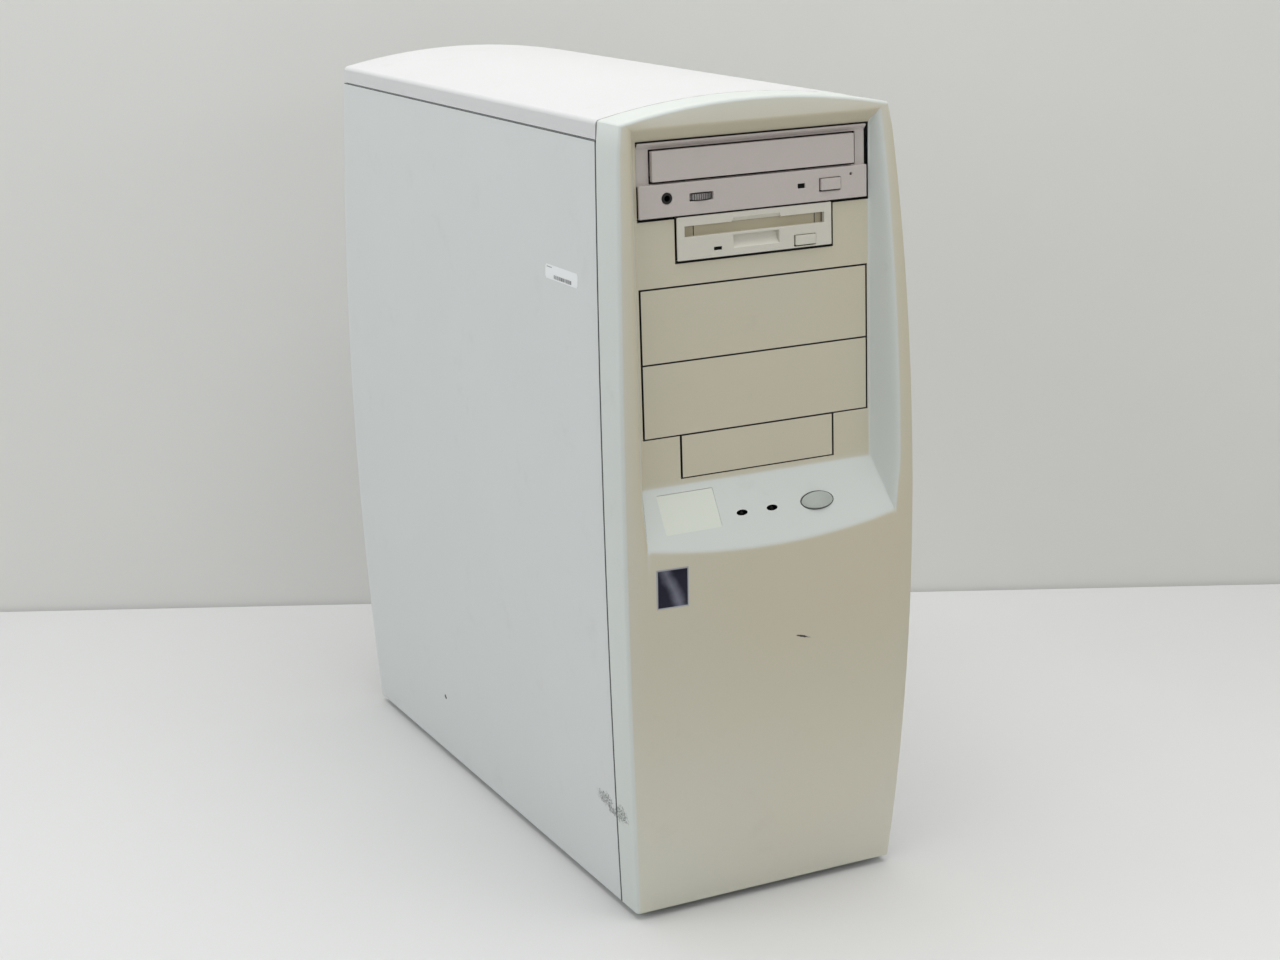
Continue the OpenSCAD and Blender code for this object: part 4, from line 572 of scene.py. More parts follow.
def ribbed_wheel():
    """Grey thumb wheel with painted shade in the grooves between its ribs."""
    w = Surface("Volume wheel plastic")
    count = w.maths("DIVIDE", w.parts(w.place)[0], RIB_PITCH)
    off_groove = w.maths("ABSOLUTE", w.maths("SUBTRACT", w.maths("FRACT", count), 0.5))
    shade = w.blend(w.ramp(off_groove, 0.2, 0.36), linear(160, 156, 154), linear(52, 50, 50))
    dusty = w.shared(handling_dust, Color=shade, Amount=0.2)["Color"]
    return w.coat(dusty, 0.5)


def badge_foil():
    """Plain foil sticker: a dark field with a bright rolled edge and a soft slanted sheen, a painted
    highlight.
    """
    w = Surface("Badge foil")
    x, _, z = w.parts(w.vector("SUBTRACT", w.place, row(BADGE_X, 0, BADGE_Z)))
    side, high = (
        w.maths("SUBTRACT", w.maths("ABSOLUTE", off), (size / 2 - BADGE_BORDER) / 1000)
        for off, size in ((x, BADGE_W), (z, BADGE_H))
    )
    border = w.ramp(w.maths("MAXIMUM", side, high), -0.0003, 0.0001)
    # A painted highlight: a soft bright band slanting across the foil
    slant = w.maths("ABSOLUTE", w.maths("MULTIPLY_ADD", z, 0.45, x))
    across = w.maths("MULTIPLY_ADD", w.noise(130.0, 2.0), 0.005, slant)
    sheen = w.maths("SUBTRACT", 1.0, w.ramp(across, 0.001, 0.0085))
    field = w.blend(sheen, linear(22, 22, 42), linear(112, 114, 128))
    shade = w.blend(border, field, linear(172, 174, 180))
    grain = w.shared(moulded_grain, Pitch=0.0004)["Height"]
    return w.coat(shade, 0.34, grain, 0.1, 0.0001, Metallic=0.5)


def asset_label():
    """White paper label with plain bars and no lettering."""
    w = Surface("Asset label")
    _, along, up = w.parts(w.vector("SUBTRACT", w.place, row(0, LABEL_Y, LABEL_Z)))
    step = (BARS_ALONG[1] - BARS_ALONG[0]) / bpy.context.scene.tower_sizes.columns
    count = w.maths("DIVIDE", along, step)
    seed = {"W": w.maths("FLOOR", count)}
    chance = w.add("ShaderNodeTexWhiteNoise", seed, noise_dimensions="1D").outputs[0]
    wide = w.maths("MULTIPLY_ADD", chance, 0.4, 0.4)
    bar = w.maths("LESS_THAN", w.maths("FRACT", count), wide)
    tall = w.maths("MULTIPLY", w.ramp(up, 0.0007, 0.0009), w.maths("LESS_THAN", up, 0.0031))
    bars = w.maths("MULTIPLY", w.maths("MULTIPLY", bar, tall), w.within(along, *BARS_ALONG))
    rule = w.maths("MULTIPLY", w.within(up, *RULE_UP), w.within(along, *RULE_ALONG))
    ink = w.maths("MAXIMUM", bars, w.maths("MULTIPLY", rule, 0.6))
    return w.coat(w.blend(ink, linear(236, 238, 238), linear(44, 44, 46)), 0.5)


# Name, colour, roughness, grain and dust of each plastic. A word stands for a colour that a user
# may change.
PLASTICS = {
    "bezel": ("Bezel plastic", "plastic", 0.5, 0.16, 0.2),
    **{name: (name.replace("_", " "), "plastic", 0.52, 0.2, 0.25) for name in BLANKS},
    "drive": ("CD drive plastic", "drive", 0.45, 0.14, 0.25),
    "drive front": ("CD drive front plastic", "drive", 0.45, 0.14, 0.25),
    "floppy": ("Floppy plastic", "floppy", 0.45, 0.14, 0.2),
    "floppy front": ("Floppy front plastic", "floppy", 0.45, 0.14, 0.2),
    # Lighter than the front: painted light on the scoop's ramp, which faces up
    "scoop": ("Floppy scoop plastic with painted light", linear(240, 238, 229), 0.36, 0.06, 0.15),
    "gap": ("Joint shade", JOINT_SHADE, 0.8, 0.12, 0.05),
    "jet": ("Jet plastic", linear(12, 12, 12), 0.6, 0.12, 0.05),
    "plate": ("Name plate film", linear(216, 221, 210), 0.4, 0.05, 0.2),
    "button": ("Power button plastic", "button", 0.36, 0.08, 0.2),
    "black": ("Black plastic", linear(30, 30, 32), 0.5, 0.12, 0.3),
    "dark": ("Dark grey plastic", linear(72, 71, 70), 0.45, 0.12, 0.3),
    "red": ("Red plastic", linear(176, 48, 40), 0.4, 0.12, 0.1),
    "socket": ("Socket plastic", linear(222, 216, 196), 0.45, 0.12, 0.2),
    "cable": ("Flat cable", linear(176, 178, 182), 0.5, 0.12, 0.2),
    "rubber": ("Foot rubber", linear(92, 92, 88), 0.8, 0.3, 0.4),
}
# Name, colour, depth of the spangle and shine of each plated or cast metal
METALS = {
    "steel": ("Chassis steel", "steel", 0.25, 0.0),
    "bright": ("Bright plated steel", linear(196, 198, 200), 0.04, 0.1),
    "cast": ("Cast aluminium", linear(158, 162, 166), 0.3, -0.08),
}
SPECIALS = {
    "board": circuit_board,
    "door": slot_door,
    "foil": badge_foil,
    "label": asset_label,
    "lamp": lamp_lens,
    "wheel": ribbed_wheel,
}
# Painted shade in the joints round the fronts: middle height, half width and half height of the front, the
# depth where it starts along its edge, and the depth behind which all is painted dark
GAPS = {
    **{
        name: ((low + high) / 2, half, (high - low) / 2, -1000.0, -21.5)
        for name, (half, low, high) in BLANKS.items()
    },
    "drive front": (440.9, 74.25, 21.2, -22.8, -20.0),
    "floppy front": (406.3, 50.5, 12.6, -22.6, -20.4),
}
# Rub marks: centre, reach, strength, tint, slant and how broken up
SEAM_SCUFFS = (
    (row(-side_x(62), 9, 65), (0.01, 0.014, 0.0055), 0.8, linear(104, 106, 102), 0.0, 1.0),
    (row(-side_x(60), 1, 60), (0.01, 0.007, 0.003), 0.8, linear(84, 86, 82), 0.0, 0.7),
    (row(-side_x(62), -12, 62), (0.01, 0.011, 0.0065), 0.8, linear(92, 96, 94), 0.0, 1.0),
)
FRONT_NICK = (row(17.5, front_y(17.5, 164), 164), (0.0062, 0.01, 0.0009), 1.0, linear(48, 44, 36), 0.3, 0.0)
SIDE_DOT = (row(-side_x(44), 277, 44.5), (0.01, 0.0022, 0.0022), 1.0, linear(60, 60, 58), 0.0, 0.0)


@functools.cache
def finish(name):
    """One of the machine's finishes, mixed the first time it is used."""
    colours = bpy.context.scene.tower_colours
    if name in SPECIALS:
        return SPECIALS[name]()
    if name == "paint":
        return painted("Cover paint", colours.paint, (*SEAM_SCUFFS, SIDE_DOT), PANEL_END_SHADE)
    if name == "top paint":
        warmer_paint = tuple(part * kept for part, kept in zip(colours.paint, TOP_TINT_SHARES))
        return painted("Top cover paint", warmer_paint, (), TOP_END_SHADE)
    label, tint, *settings = {**PLASTICS, **METALS}[name]
    fresh = getattr(colours, tint) if isinstance(tint, str) else tint
    if name in METALS:
        return plated(label, fresh, *settings)
    aged_and_warm_lit = colours.aged_and_warm_lit if tint == "plastic" else None
    marks = (*SEAM_SCUFFS, FRONT_NICK) if name == "bezel" else ()
    return plastic(label, fresh, *settings, aged_and_warm_lit, marks, GAPS.get(name))


# ---- Pieces ----

# How near points are joined, in metres, and from what angle edges are rounded or left as folds
WELD_REACH = 0.00001
ROUND_ANGLE = 28
FOLD_ANGLE = 30


def dress(piece, material):
    """Gives every face of a piece one material."""
    piece.data.materials.clear()
    piece.data.materials.append(material)


def weld(piece):
    made = piece.modifiers.new("Weld", "WELD")
    made.merge_threshold = WELD_REACH


def split_edges(piece, degrees):
    """Leaves edges sharper than an angle sharp."""
    made = piece.modifiers.new("Sharp edges", "EDGE_SPLIT")
    made.split_angle = math.radians(degrees)
    made.use_edge_sharp = False


def even_normals(piece):
    made = piece.modifiers.new("Normals", "WEIGHTED_NORMAL")
    made.weight = 100


def soften(piece, width):
    """Rounds the hard edges of a machined or moulded solid."""
    weld(piece)
    edge = piece.modifiers.new("Edges", "BEVEL")
    edge.width = width
    edge.segments = 2
    edge.limit_method = "ANGLE"
    edge.angle_limit = math.radians(ROUND_ANGLE)
    edge.miter_outer = "MITER_ARC"
    even_normals(piece)


def crisp(piece):
    """Keeps folded edges sharp and curved sheet smooth, where holes leave no room for rounding."""
    weld(piece)
    split_edges(piece, FOLD_ANGLE)
    even_normals(piece)


def finish_nodes(names, name, width=None):
    """Gives CAD nodes a finish and, with a width, round edges."""
    for node in names:
        dress(NODES[node], finish(name))
        if width:
            soften(NODES[node], width)


def smooth_mesh(name, work):
    """The mesh that a bmesh has become, shaded smooth."""
    mesh = bpy.data.meshes.new(name)
    work.to_mesh(mesh)
    work.free()
    mesh.shade_smooth()
    return mesh


def new_piece(name, work, material, instead_of=(), body="case"):
    """Links a finished bmesh as a piece of the machine, on the body it rides on."""
    piece = bpy.data.objects.new(name, smooth_mesh(name, work))
    bpy.context.scene.collection.objects.link(piece)
    dress(piece, material)
    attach(piece, body)
    if instead_of:
        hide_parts(*instead_of)
    return piece


# ---- The front bezel ----

# Where the side walls of the recess begin to flare less, going down, and over what height
FLARE_Z = 268.0
FLARE_RUN = 34.0
# For the recess's side wall, roof and shelf: how far they blend, the share of the lip's softness
# that each one's lip has, and the softness of the valley between each and the floor
LIP_BLEND = 1.5
LIP_SHARES = (1.0, 0.2, 0.2)
VALLEYS = (1.6, 1.2, 0.8)
# First guess of the recess's half width at the front, and the steps of a search
MOUTH_GUESS = 80.0
SOLVE_STEPS = 40
# Lines of the sheet over the recess floor, besides the edges of the bays
GRID_X = (-FLOOR_HALF, -75.8, -62, -38, -25, -12.5, 0, 12.5, 25, 38, 62, FLOOR_HALF)
GRID_Z = (
    SHELF_Z, 263.8, 275, 284, 303, 314, 325, 336, 347, 358, 369, 386, 402, 410.6, 430, 441, 452, ROOF_Z,
)
# How far the first lines lie from the recess's lip
LIP_STEPS = (0, 0.7, 1.4, 2.3)
# From the lip to the outline: the first lines' longest step as a share of the way, how far past the
# outline the search goes, and the least step between later lines
SPOKE_SHARE = 0.09
SPOKE_REACH = 1.25
SPOKE_LEAST = 0.02
# Where lines run along the rounded outline and the rounded foot, as shares of their radius
EDGE_LEVELS = (1.0, 0.74, 0.5, 0.3, 0.15, 0.05, 0.0)
FOOT_LEVELS = (1.0, 0.6, 0.25, 0.0)
# Where lines run along a recess wall and the shelf, as shares of the way down
WALL_STEPS = (0, 0.07, 0.15, 0.26, 0.4, 0.55, 0.7)
SHELF_STEPS = (0.03, 0.07, 0.12, 0.95, 0.98, 1.0)
# Rows of the lower front between the shelf and the foot
LOWER_ROWS = 20
# Edges of moulded parts that turn more than this stay sharp, in degrees
MOULDING_ANGLE = 38


def soft_min(a, b, k):
    h = max(k - abs(a - b), 0) / k
    return min(a, b) - h * h * k / 4


def soft_max(a, b, k):
    return -soft_min(-a, -b, k)


def flare(z):
    """How fast the recess widens towards the front; less beside the control shelf."""
    t = min(max((FLARE_Z - z) / FLARE_RUN, 0), 1)
    return FLARE + (FLARE_LOW - FLARE) * t * t * (3 - 2 * t)


def recess_planes(x, z):
    """Depths of the recess's side wall, roof and shelf over a point of the front."""
    wall = FACE_Y - (abs(x) - FLOOR_HALF) / flare(z)
    roof = FACE_Y - (z - ROOF_Z) / ROOF_RISE
    shelf = FACE_Y - (SHELF_Z - z) / math.tan(SHELF_ANGLE)
    return wall, roof, shelf


def skin_y(x, z, lip):
    """The moulded front: crown and recess in one, with soft lips and valleys."""
    planes = recess_planes(x, z)
    nearest = min(planes)
    weights = [math.exp((nearest - p) / LIP_BLEND) for p in planes]
    soft = sum(w * (lip * share) for w, share in zip(weights, LIP_SHARES)) / sum(weights)
    inner = FACE_Y
    for plane, valley in zip(planes, VALLEYS):
        inner = soft_min(inner, plane, valley)
    return soft_max(front_y(x, z), inner, soft)


def mouth_point(x=None, z=None, side=1):
    """A point where the recess meets the front: on the side wall, on the roof or shelf, or a corner."""
    px = MOUTH_GUESS * side if x is None else x
    pz = z if isinstance(z, float) else MID_Z
    for _ in range(SOLVE_STEPS):
        depth = FACE_Y - front_y(px, pz)
        if x is None:
            px = side * (FLOOR_HALF + flare(pz) * depth)
        if z == "roof":
            pz = ROOF_Z + ROOF_RISE * depth
        elif z == "shelf":
            pz = SHELF_Z - math.tan(SHELF_ANGLE) * depth
    return px, pz


def inset_of(x, z):
    """How far a point of the front view lies inside the bowed and arched outline."""
    ds, dt = side_x(z) - abs(x), top_z(x) - z
    if max(ds, dt) < CORNER:
        return CORNER - math.hypot(CORNER - ds, CORNER - dt)
    return min(ds, dt)


def spaced(low, high, count):
    return [low + (high - low) * i / count for i in range(count + 1)]


class BezelSheet:
    """The bezel's outer skin as one sheet of quads, before it gets its wall."""

    def __init__(self, sizes):
        self.radius = sizes.edge_radius * 1000
        self.foot = sizes.foot_radius * 1000
        self.lip = sizes.mouth_soft * 1000
        self.mesh = bmesh.new()
        self.found = {}

    def edge_drop(self, x, z):
        r, f = self.radius, self.foot
        side = max(r - inset_of(x, z), 0)
        low = max(f - z, 0)
        return r - math.sqrt(max(r * r - side * side, 0)) + f - math.sqrt(max(f * f - low * low, 0))

    def at(self, x, z):
        """The vertex over a point of the front view, shared where sheets meet."""
        key = (round(x, 3), round(z, 3))
        if key not in self.found:
            y = skin_y(x, z, self.lip) + self.edge_drop(x, z)
            self.found[key] = self.mesh.verts.new(row(x, y, z))
        return self.found[key]

    def quads(self, grid):
        """Faces over a grid of vertices."""
        for low, high in zip(grid, grid[1:]):
            for i in range(len(low) - 1):
                ring = []
                for v in (low[i], low[i + 1], high[i + 1], high[i]):
                    if v not in ring:
                        ring.append(v)
                if len(ring) > 2 and not self.mesh.faces.get(ring):
                    self.mesh.faces.new(ring)

    def spoke(self, start, end):
        """Front-view points from the recess's lip out to the outline."""
        sx, sz = start
        dx, dz = end[0] - sx, end[1] - sz
        whole = math.hypot(dx, dz)
        steps = [min(o, whole * SPOKE_SHARE * i) / whole for i, o in enumerate(LIP_STEPS)]
        for level in EDGE_LEVELS:
            low, high = 0.0, SPOKE_REACH
            for _ in range(SOLVE_STEPS):
                mid = (low + high) / 2
                if inset_of(sx + dx * mid, sz + dz * mid) > level * self.radius:
                    low = mid
                else:
                    high = mid
            steps.append(max(low, steps[-1] + SPOKE_LEAST) if level else low)
        return [(sx + dx * t, sz + dz * t) for t in steps]


def ellipse(w, h, count):
    turns = [2 * math.pi * i / count for i in range(count)]
    return [(w / 2 * math.cos(a), h / 2 * math.sin(a)) for a in turns]


def rounded(w, h, r, steps=4):
    out = []
    for cx, cz, start in ((1, 1, 0), (-1, 1, 90), (-1, -1, 180), (1, -1, 270)):
        for i in range(steps + 1):
            a = math.radians(start + 90 * i / steps)
            out.append((cx * (w / 2 - r) + r * math.cos(a), cz * (h / 2 - r) + r * math.sin(a)))
    return out


def inside(point, loop):
    """Even-odd test in a plane."""
    x, y = point
    hit = False
    for (ax, ay), (bx, by) in zip(loop, loop[1:] + loop[:1]):
        if (ay > y) != (by > y) and x < (bx - ax) * (y - ay) / (by - ay) + ax:
            hit = not hit
    return hit


def ring_edges(first, count):
    """Pairs of neighbours round a ring of numbered points."""
    return [(first + i, first + (i + 1) % count) for i in range(count)]


def flat_faces(flat, edges, solid):
    """Triangles over flat points, as numbers of points, where their middles are solid."""
    points, _, faces, origin, _, _ = delaunay_2d_cdt([Vector(p) for p in flat], edges, [], 0, 1e-6)
    for face in faces:
        if solid(sum((points[i] for i in face), Vector((0, 0))) / len(face)):
            yield [origin[i][0] for i in face]


SHELF_HOLES = (
    # middle across, middle down the slope, outline, pocket depth or 0 for a through hole
    (32.9, 22.2, ellipse(22.5, 11.5, 56), 0.0),
    (-17.5, 22.2, ellipse(7.3, 3.5, 32), 0.0),
    (2.5, 22.2, ellipse(7.3, 3.5, 32), 0.0),
    (-50.5, 16.5, rounded(36.6, 24.1, 0.9), 0.8),
)


def fill_shelf(sheet, border):
    """The flat part of the shelf, with its holes and the name plate's pocket."""
    outer = []
    for v in border:
        z = v.co.z * 1000 - FOOT_H
        outer.append((v.co.x * 1000, (SHELF_Z - z) / math.sin(SHELF_ANGLE)))
    flat, verts = list(outer), list(border)
    edges = ring_edges(0, len(flat))
    loops = []
    for cx, cd, shape, deep in SHELF_HOLES:
        ring = [(cx + px, cd - pz) for px, pz in shape]
        made = [sheet.mesh.verts.new(row(*on_shelf(px, pd))) for px, pd in ring]
        edges += ring_edges(len(flat), len(ring))
        flat += ring
        verts += made
        loops.append((ring, made, deep))

    def solid(middle):
        return inside(middle, outer) and not any(inside(middle, ring) for ring, _, _ in loops)

    for face in flat_faces(flat, edges, solid):
        sheet.mesh.faces.new([verts[i] for i in face])
    for ring, made, deep in loops:
        if deep:
            base = [sheet.mesh.verts.new(row(*on_shelf(px, pd, -deep))) for px, pd in ring]
            for i, j in ring_edges(0, len(ring)):
                sheet.mesh.faces.new((made[i], made[j], base[j], base[i]))
            sheet.mesh.faces.new(base)


def bezel_sheet(sizes):
    """All of the bezel's skin: frame strips, lower front, recess, shelf and edges."""
    sheet = BezelSheet(sizes)
    at = sheet.at
    xs = sorted({float(x) for x in GRID_X}.union(*({bay[0], bay[1]} for bay in BAYS)))
    zs = sorted({float(z) for z in GRID_Z}.union(*({bay[2], bay[3]} for bay in BAYS)))
    # Recess floor with its bays
    for west, east in zip(xs, xs[1:]):
        for low, high in zip(zs, zs[1:]):
            x, z = (west + east) / 2, (low + high) / 2
            if not any(x0 < x < x1 and z0 < z < z1 for x0, x1, z0, z1 in BAYS):
                sheet.quads([[at(west, low), at(east, low)], [at(west, high), at(east, high)]])
    outline = {}
    roof_r, sill_r = mouth_point(z="roof"), mouth_point(z="shelf")
    low_z, high_z = sill_r[1], roof_r[1]
    last_x, last_z = len(xs) - 1, len(zs) - 1

    def inner(start, end):
        """Points across a recess wall, from the lip down to the floor."""
        dx, dz = end[0] - start[0], end[1] - start[1]
        whole = math.hypot(dx, dz)
        steps = [*WALL_STEPS, 1 - 1.0 / whole if whole > 4 else 0.85, 1]
        return [(start[0] + dx * t, start[1] + dz * t) for t in steps]

    ends = {0: "shelf", last_z: "roof"}
    for side in (-1, 1):
        rows_out, rows_in = [], []
        for k, z in enumerate(zs):
            f = (z - zs[0]) / (zs[-1] - zs[0])
            lip = mouth_point(z=ends.get(k, low_z + (high_z - low_z) * f), side=side)
            oz = low_z + (CASE_H - low_z) * f
            points = sheet.spoke(lip, (side * side_x(oz), oz))
            rows_out.append([at(*p) for p in points])
            rows_in.append([at(*p) for p in inner(lip, (side * FLOOR_HALF, z))])
            outline[("side", side, k)] = points
        sheet.quads(rows_out)
        sheet.quads(rows_in)
    rows_out, rows_in, rows_shelf, sills = [], [], [], []
    for j, x in enumerate(xs):
        f = x / FLOOR_HALF
        end = j in (0, last_x)
        side = -1 if x < 0 else 1
        lip = mouth_point(None if end else f * roof_r[0], "roof", side)
        ox = f * CASE_W / 2
        points = sheet.spoke(lip, (ox, top_z(ox)))
        rows_out.append([at(*p) for p in points])
        rows_in.append([at(*p) for p in inner(lip, (x, ROOF_Z))])
        outline[("top", 0, j)] = points
        sill = mouth_point(None if end else f * sill_r[0], "shelf", side)
        dx, dz = x - sill[0], SHELF_Z - sill[1]
        slope = [sill, *[(sill[0] + dx * t, sill[1] + dz * t) for t in SHELF_STEPS]]
        rows_shelf.append([at(*p) for p in slope])
        sills.append(sill)
    sheet.quads(rows_out)
    sheet.quads(rows_in)
    # The shelf: two columns of quads at each end, and strips round a flat middle with the openings
    first, last = 2, last_x - 2
    for j, pair in enumerate(zip(rows_shelf, rows_shelf[1:])):
        if first <= j < last:
            sheet.quads([p[:4] for p in pair])
            sheet.quads([p[4:] for p in pair])
        else:
            sheet.quads(pair)
    near = [rows_shelf[j][3] for j in range(first, last + 1)]
    far = [rows_shelf[j][4] for j in range(first, last + 1)]
    fill_shelf(sheet, near + far[::-1])
    # The lower front, down to the foot
    base_half = side_x(low_z)
    left, right = outline[("side", -1, 0)][::-1], outline[("side", 1, 0)]
    heads = [(x / base_half, z) for x, z in left[:-1] + sills + right[1:]]
    rises = [sheet.foot * share for share in FOOT_LEVELS]
    grid = []
    for f, z0 in heads:
        levels = [z0 - drop for drop in LIP_STEPS]
        levels += [levels[-1] + (rises[0] - levels[-1]) * t for t in spaced(0, 1, LOWER_ROWS)[1:-1]]
        grid.append([at(f * base_half, z0)] + [at(f * side_x(z), z) for z in (levels + rises)[1:]])
    sheet.quads(grid)
    # Back along the sides, top and foot to the seam
    ring = grid[0][::-1]
    ring += [at(*outline[("side", -1, k)][-1]) for k in range(1, last_z + 1)]
    ring += [at(*outline[("top", 0, j)][-1]) for j in range(1, last_x + 1)]
    ring += [at(*outline[("side", 1, k)][-1]) for k in range(last_z - 1, -1, -1)]
    ring += grid[-1][1:]
    ring += [column[-1] for column in grid[-2:0:-1]]
    loop = [v for i, v in enumerate(ring) if v is not ring[i - 1]]
    backs = []
    for v in loop:
        seam = seam_y(v.co.z * 1000 - FOOT_H) - SEAM_GAP
        y0 = v.co.y * 1000 - CENTRE_Y
        stops = [v]
        for t in (0.5, 1.0):
            y = (y0 + (seam - y0) * t + CENTRE_Y) / 1000
            stops.append(sheet.mesh.verts.new((v.co.x, y, v.co.z)))
        backs.append(stops)
    sheet.quads(backs + [backs[0]])
    return sheet.mesh


class OBJECT_OT_tower_bezel(Operator):
    """Moulds the front bezel with its recess, shelf, bays and soft edges"""

    bl_idname = "object.tower_bezel"
    bl_label = "Front bezel"

    def execute(self, context):
        sizes = context.scene.tower_sizes
        work = bezel_sheet(sizes)
        bmesh.ops.recalc_face_normals(work, faces=work.faces)
        front = min(work.faces, key=lambda f: f.calc_center_median().y)
        if front.normal.y > 0:
            bmesh.ops.reverse_faces(work, faces=work.faces)
        piece = new_piece("front_bezel_moulding", work, finish("bezel"), ["front_bezel"])
        # The wall's rim, round the openings and along the back edge, takes the joint colour: painted shade
        # in the gaps
        piece.data.materials.append(finish("gap"))
        wall = piece.modifiers.new("Wall", "SOLIDIFY")
        wall.thickness = sizes.wall
        wall.offset = -1
        wall.use_even_offset = True
        wall.thickness_clamp = 1.0
        wall.material_offset_rim = 1
        split_edges(piece, MOULDING_ANGLE)
        return {"FINISHED"}


# ---- Fronts of drives and bays ----

# Rounds of the edges of the CD drive's lower front, of the frame round its tray and of the floppy
# drive's front
CD_EDGE = 0.45
FRAME_EDGE = 0.3
FD_EDGE = 0.3
# Steps down the floppy drive's scoop
SCOOP_ROWS = 10
# Keeps mitred corners from reaching far out
MITRE_LIMIT = 0.4
# Edge rounds as shares of the drive front's, and in metres
TRAY_SHARE = 0.8
DOOR_SHARE = 0.4
BUTTON_EDGE = 0.0004
PLATE_EDGE = 0.00015


def box_loop(x, z, radius):
    """A rectangle with round corners, counter-clockwise as seen from the front."""
    mx, mz = (x[0] + x[1]) / 2, (z[0] + z[1]) / 2
    return [(mx + px, mz + pz) for px, pz in rounded(x[1] - x[0], z[1] - z[0], radius, 3)]


def round_loop(x, z, radius, count):
    return [(x + px, z + pz) for px, pz in ellipse(2 * radius, 2 * radius, count)]


def crossed(loop, levels):
    """The loop with a point added wherever it crosses one of the heights."""
    out = []
    for (ax, az), (bx, bz) in zip(loop, loop[1:] + loop[:1]):
        out.append((ax, az))
        hits = sorted((abs(level - az), level) for level in levels if min(az, bz) < level < max(az, bz))
        out.extend((ax + (bx - ax) * (level - az) / (bz - az), level) for _, level in hits)
    return out


def shifted(loop, offset):
    """The loop moved to its left side by an offset, with mitred corners."""
    out = []
    for i, (x, z) in enumerate(loop):
        before = Vector((x, z)) - Vector(loop[i - 1])
        after = Vector(loop[(i + 1) % len(loop)]) - Vector((x, z))
        a, b = before.normalized(), after.normalized()
        normal = Vector((-a.y - b.y, a.x + b.x)).normalized()
        reach = offset / max(normal.dot(Vector((-a.y, a.x))), MITRE_LIMIT)
        out.append((x + normal.x * reach, z + normal.y * reach))
    return out


def moulded_front(work, front, edge, outline, holes, cuts=(), creases=()):
    """A moulded front with round edges: its outline, the holes through it and the cuts left open."""
    loops = [(crossed(outline, creases), True)]
    loops += [(crossed(loop[::-1], creases), True) for loop in holes]
    loops += [(loop[::-1], False) for loop in cuts]
    steps = [(edge * (1 - math.sin(a)), edge * (1 - math.cos(a))) for a in map(math.radians, (30, 60, 90))]
    flat, edges, verts, caps, rims = [], [], [], [], []
    for loop, walled in loops:
        cap = shifted(loop, edge) if walled else loop
        edges += ring_edges(len(flat), len(cap))
        flat += cap
        caps.append(cap)
        last = [work.verts.new(row(x, front(z), z)) for x, z in cap]
        verts += last
        if not walled:
            rims.append((loop, last))
            continue
        for shift, depth in steps + [(0.0, None)]:
            made = []
            for (x, z), (_, cz) in zip(shifted(loop, shift) if shift else loop, cap):
                y = DRIVE_BACK if depth is None else front(cz) + depth
                made.append(work.verts.new(row(x, y, z)))
            for i, j in ring_edges(0, len(made)):
                work.faces.new((last[i], made[i], made[j], last[j]))
            last = made
    for level in creases:
        on = sorted((x, i) for i, (x, z) in enumerate(flat) if abs(z - level) < 1e-6)
        edges.append((on[0][1], on[-1][1]))

    def solid(middle):
        return inside(middle, caps[0]) and not any(inside(middle, cap) for cap in caps[1:])

    for face in flat_faces(flat, edges, solid):
        work.faces.new([verts[i] for i in face])
    return rims


def front_piece(name, work, material, node):
    """Turns a moulded front into the piece that stands for its CAD node."""
    piece = new_piece(name, work, material, [node])
    split_edges(piece, MOULDING_ANGLE)
    even_normals(piece)
    return piece


# Openings of the drive fronts
CD_OPENINGS = (
    round_loop(-56.4, 430.3, 3.2, 28),  # headphones
    box_loop((-42.0, -27.0), (427.2, 431.8), 0.5),  # volume wheel
    box_loop((27.9, 32.7), (428.2, 431.0), 0.3),  # lamp
    box_loop((42.1, 56.4), (425.1, 432.9), 0.5),  # eject button
    round_loop(63.4, 433.8, 0.85, 16),  # pin hole
)
TRAY_OPENING = box_loop((-TRAY_HALF - 0.7, TRAY_HALF + 2.4), (CD_STEP_Z + 0.25, TRAY_TOP + 0.7), 0.3)
FLOPPY_OPENINGS = (
    box_loop((-27.0, -21.8), (397.9, 399.9), 0.3),  # lamp
    box_loop((25.3, 39.7), (394.8, 401.5), 0.5),  # eject button
)


def cd_front():
    """The CD drive's front: a lower part with the controls, and a frame round the tray."""
    work = bmesh.new()
    half = (-CD_HALF, CD_HALF)
    lower = box_loop(half, (CD_Z[0], CD_STEP_Z), DRIVE_CORNER)
    moulded_front(work, lambda z: CD_FACE, CD_EDGE, lower, CD_OPENINGS)
    low, high = CD_BROW_Z
    slope = (CD_BROW_Y - CD_STEP_Y) / (high - low)

    def frame_y(z):
        return CD_STEP_Y + slope * min(max(z - low, 0), high - low)

    surround = box_loop(half, (CD_STEP_Z - 1, CD_Z[1]), DRIVE_CORNER)
    moulded_front(work, frame_y, FRAME_EDGE, surround, [TRAY_OPENING], creases=(low, high - 0.01))
    front_piece("cd_front_moulding", work, finish("drive front"), "cd_bezel")


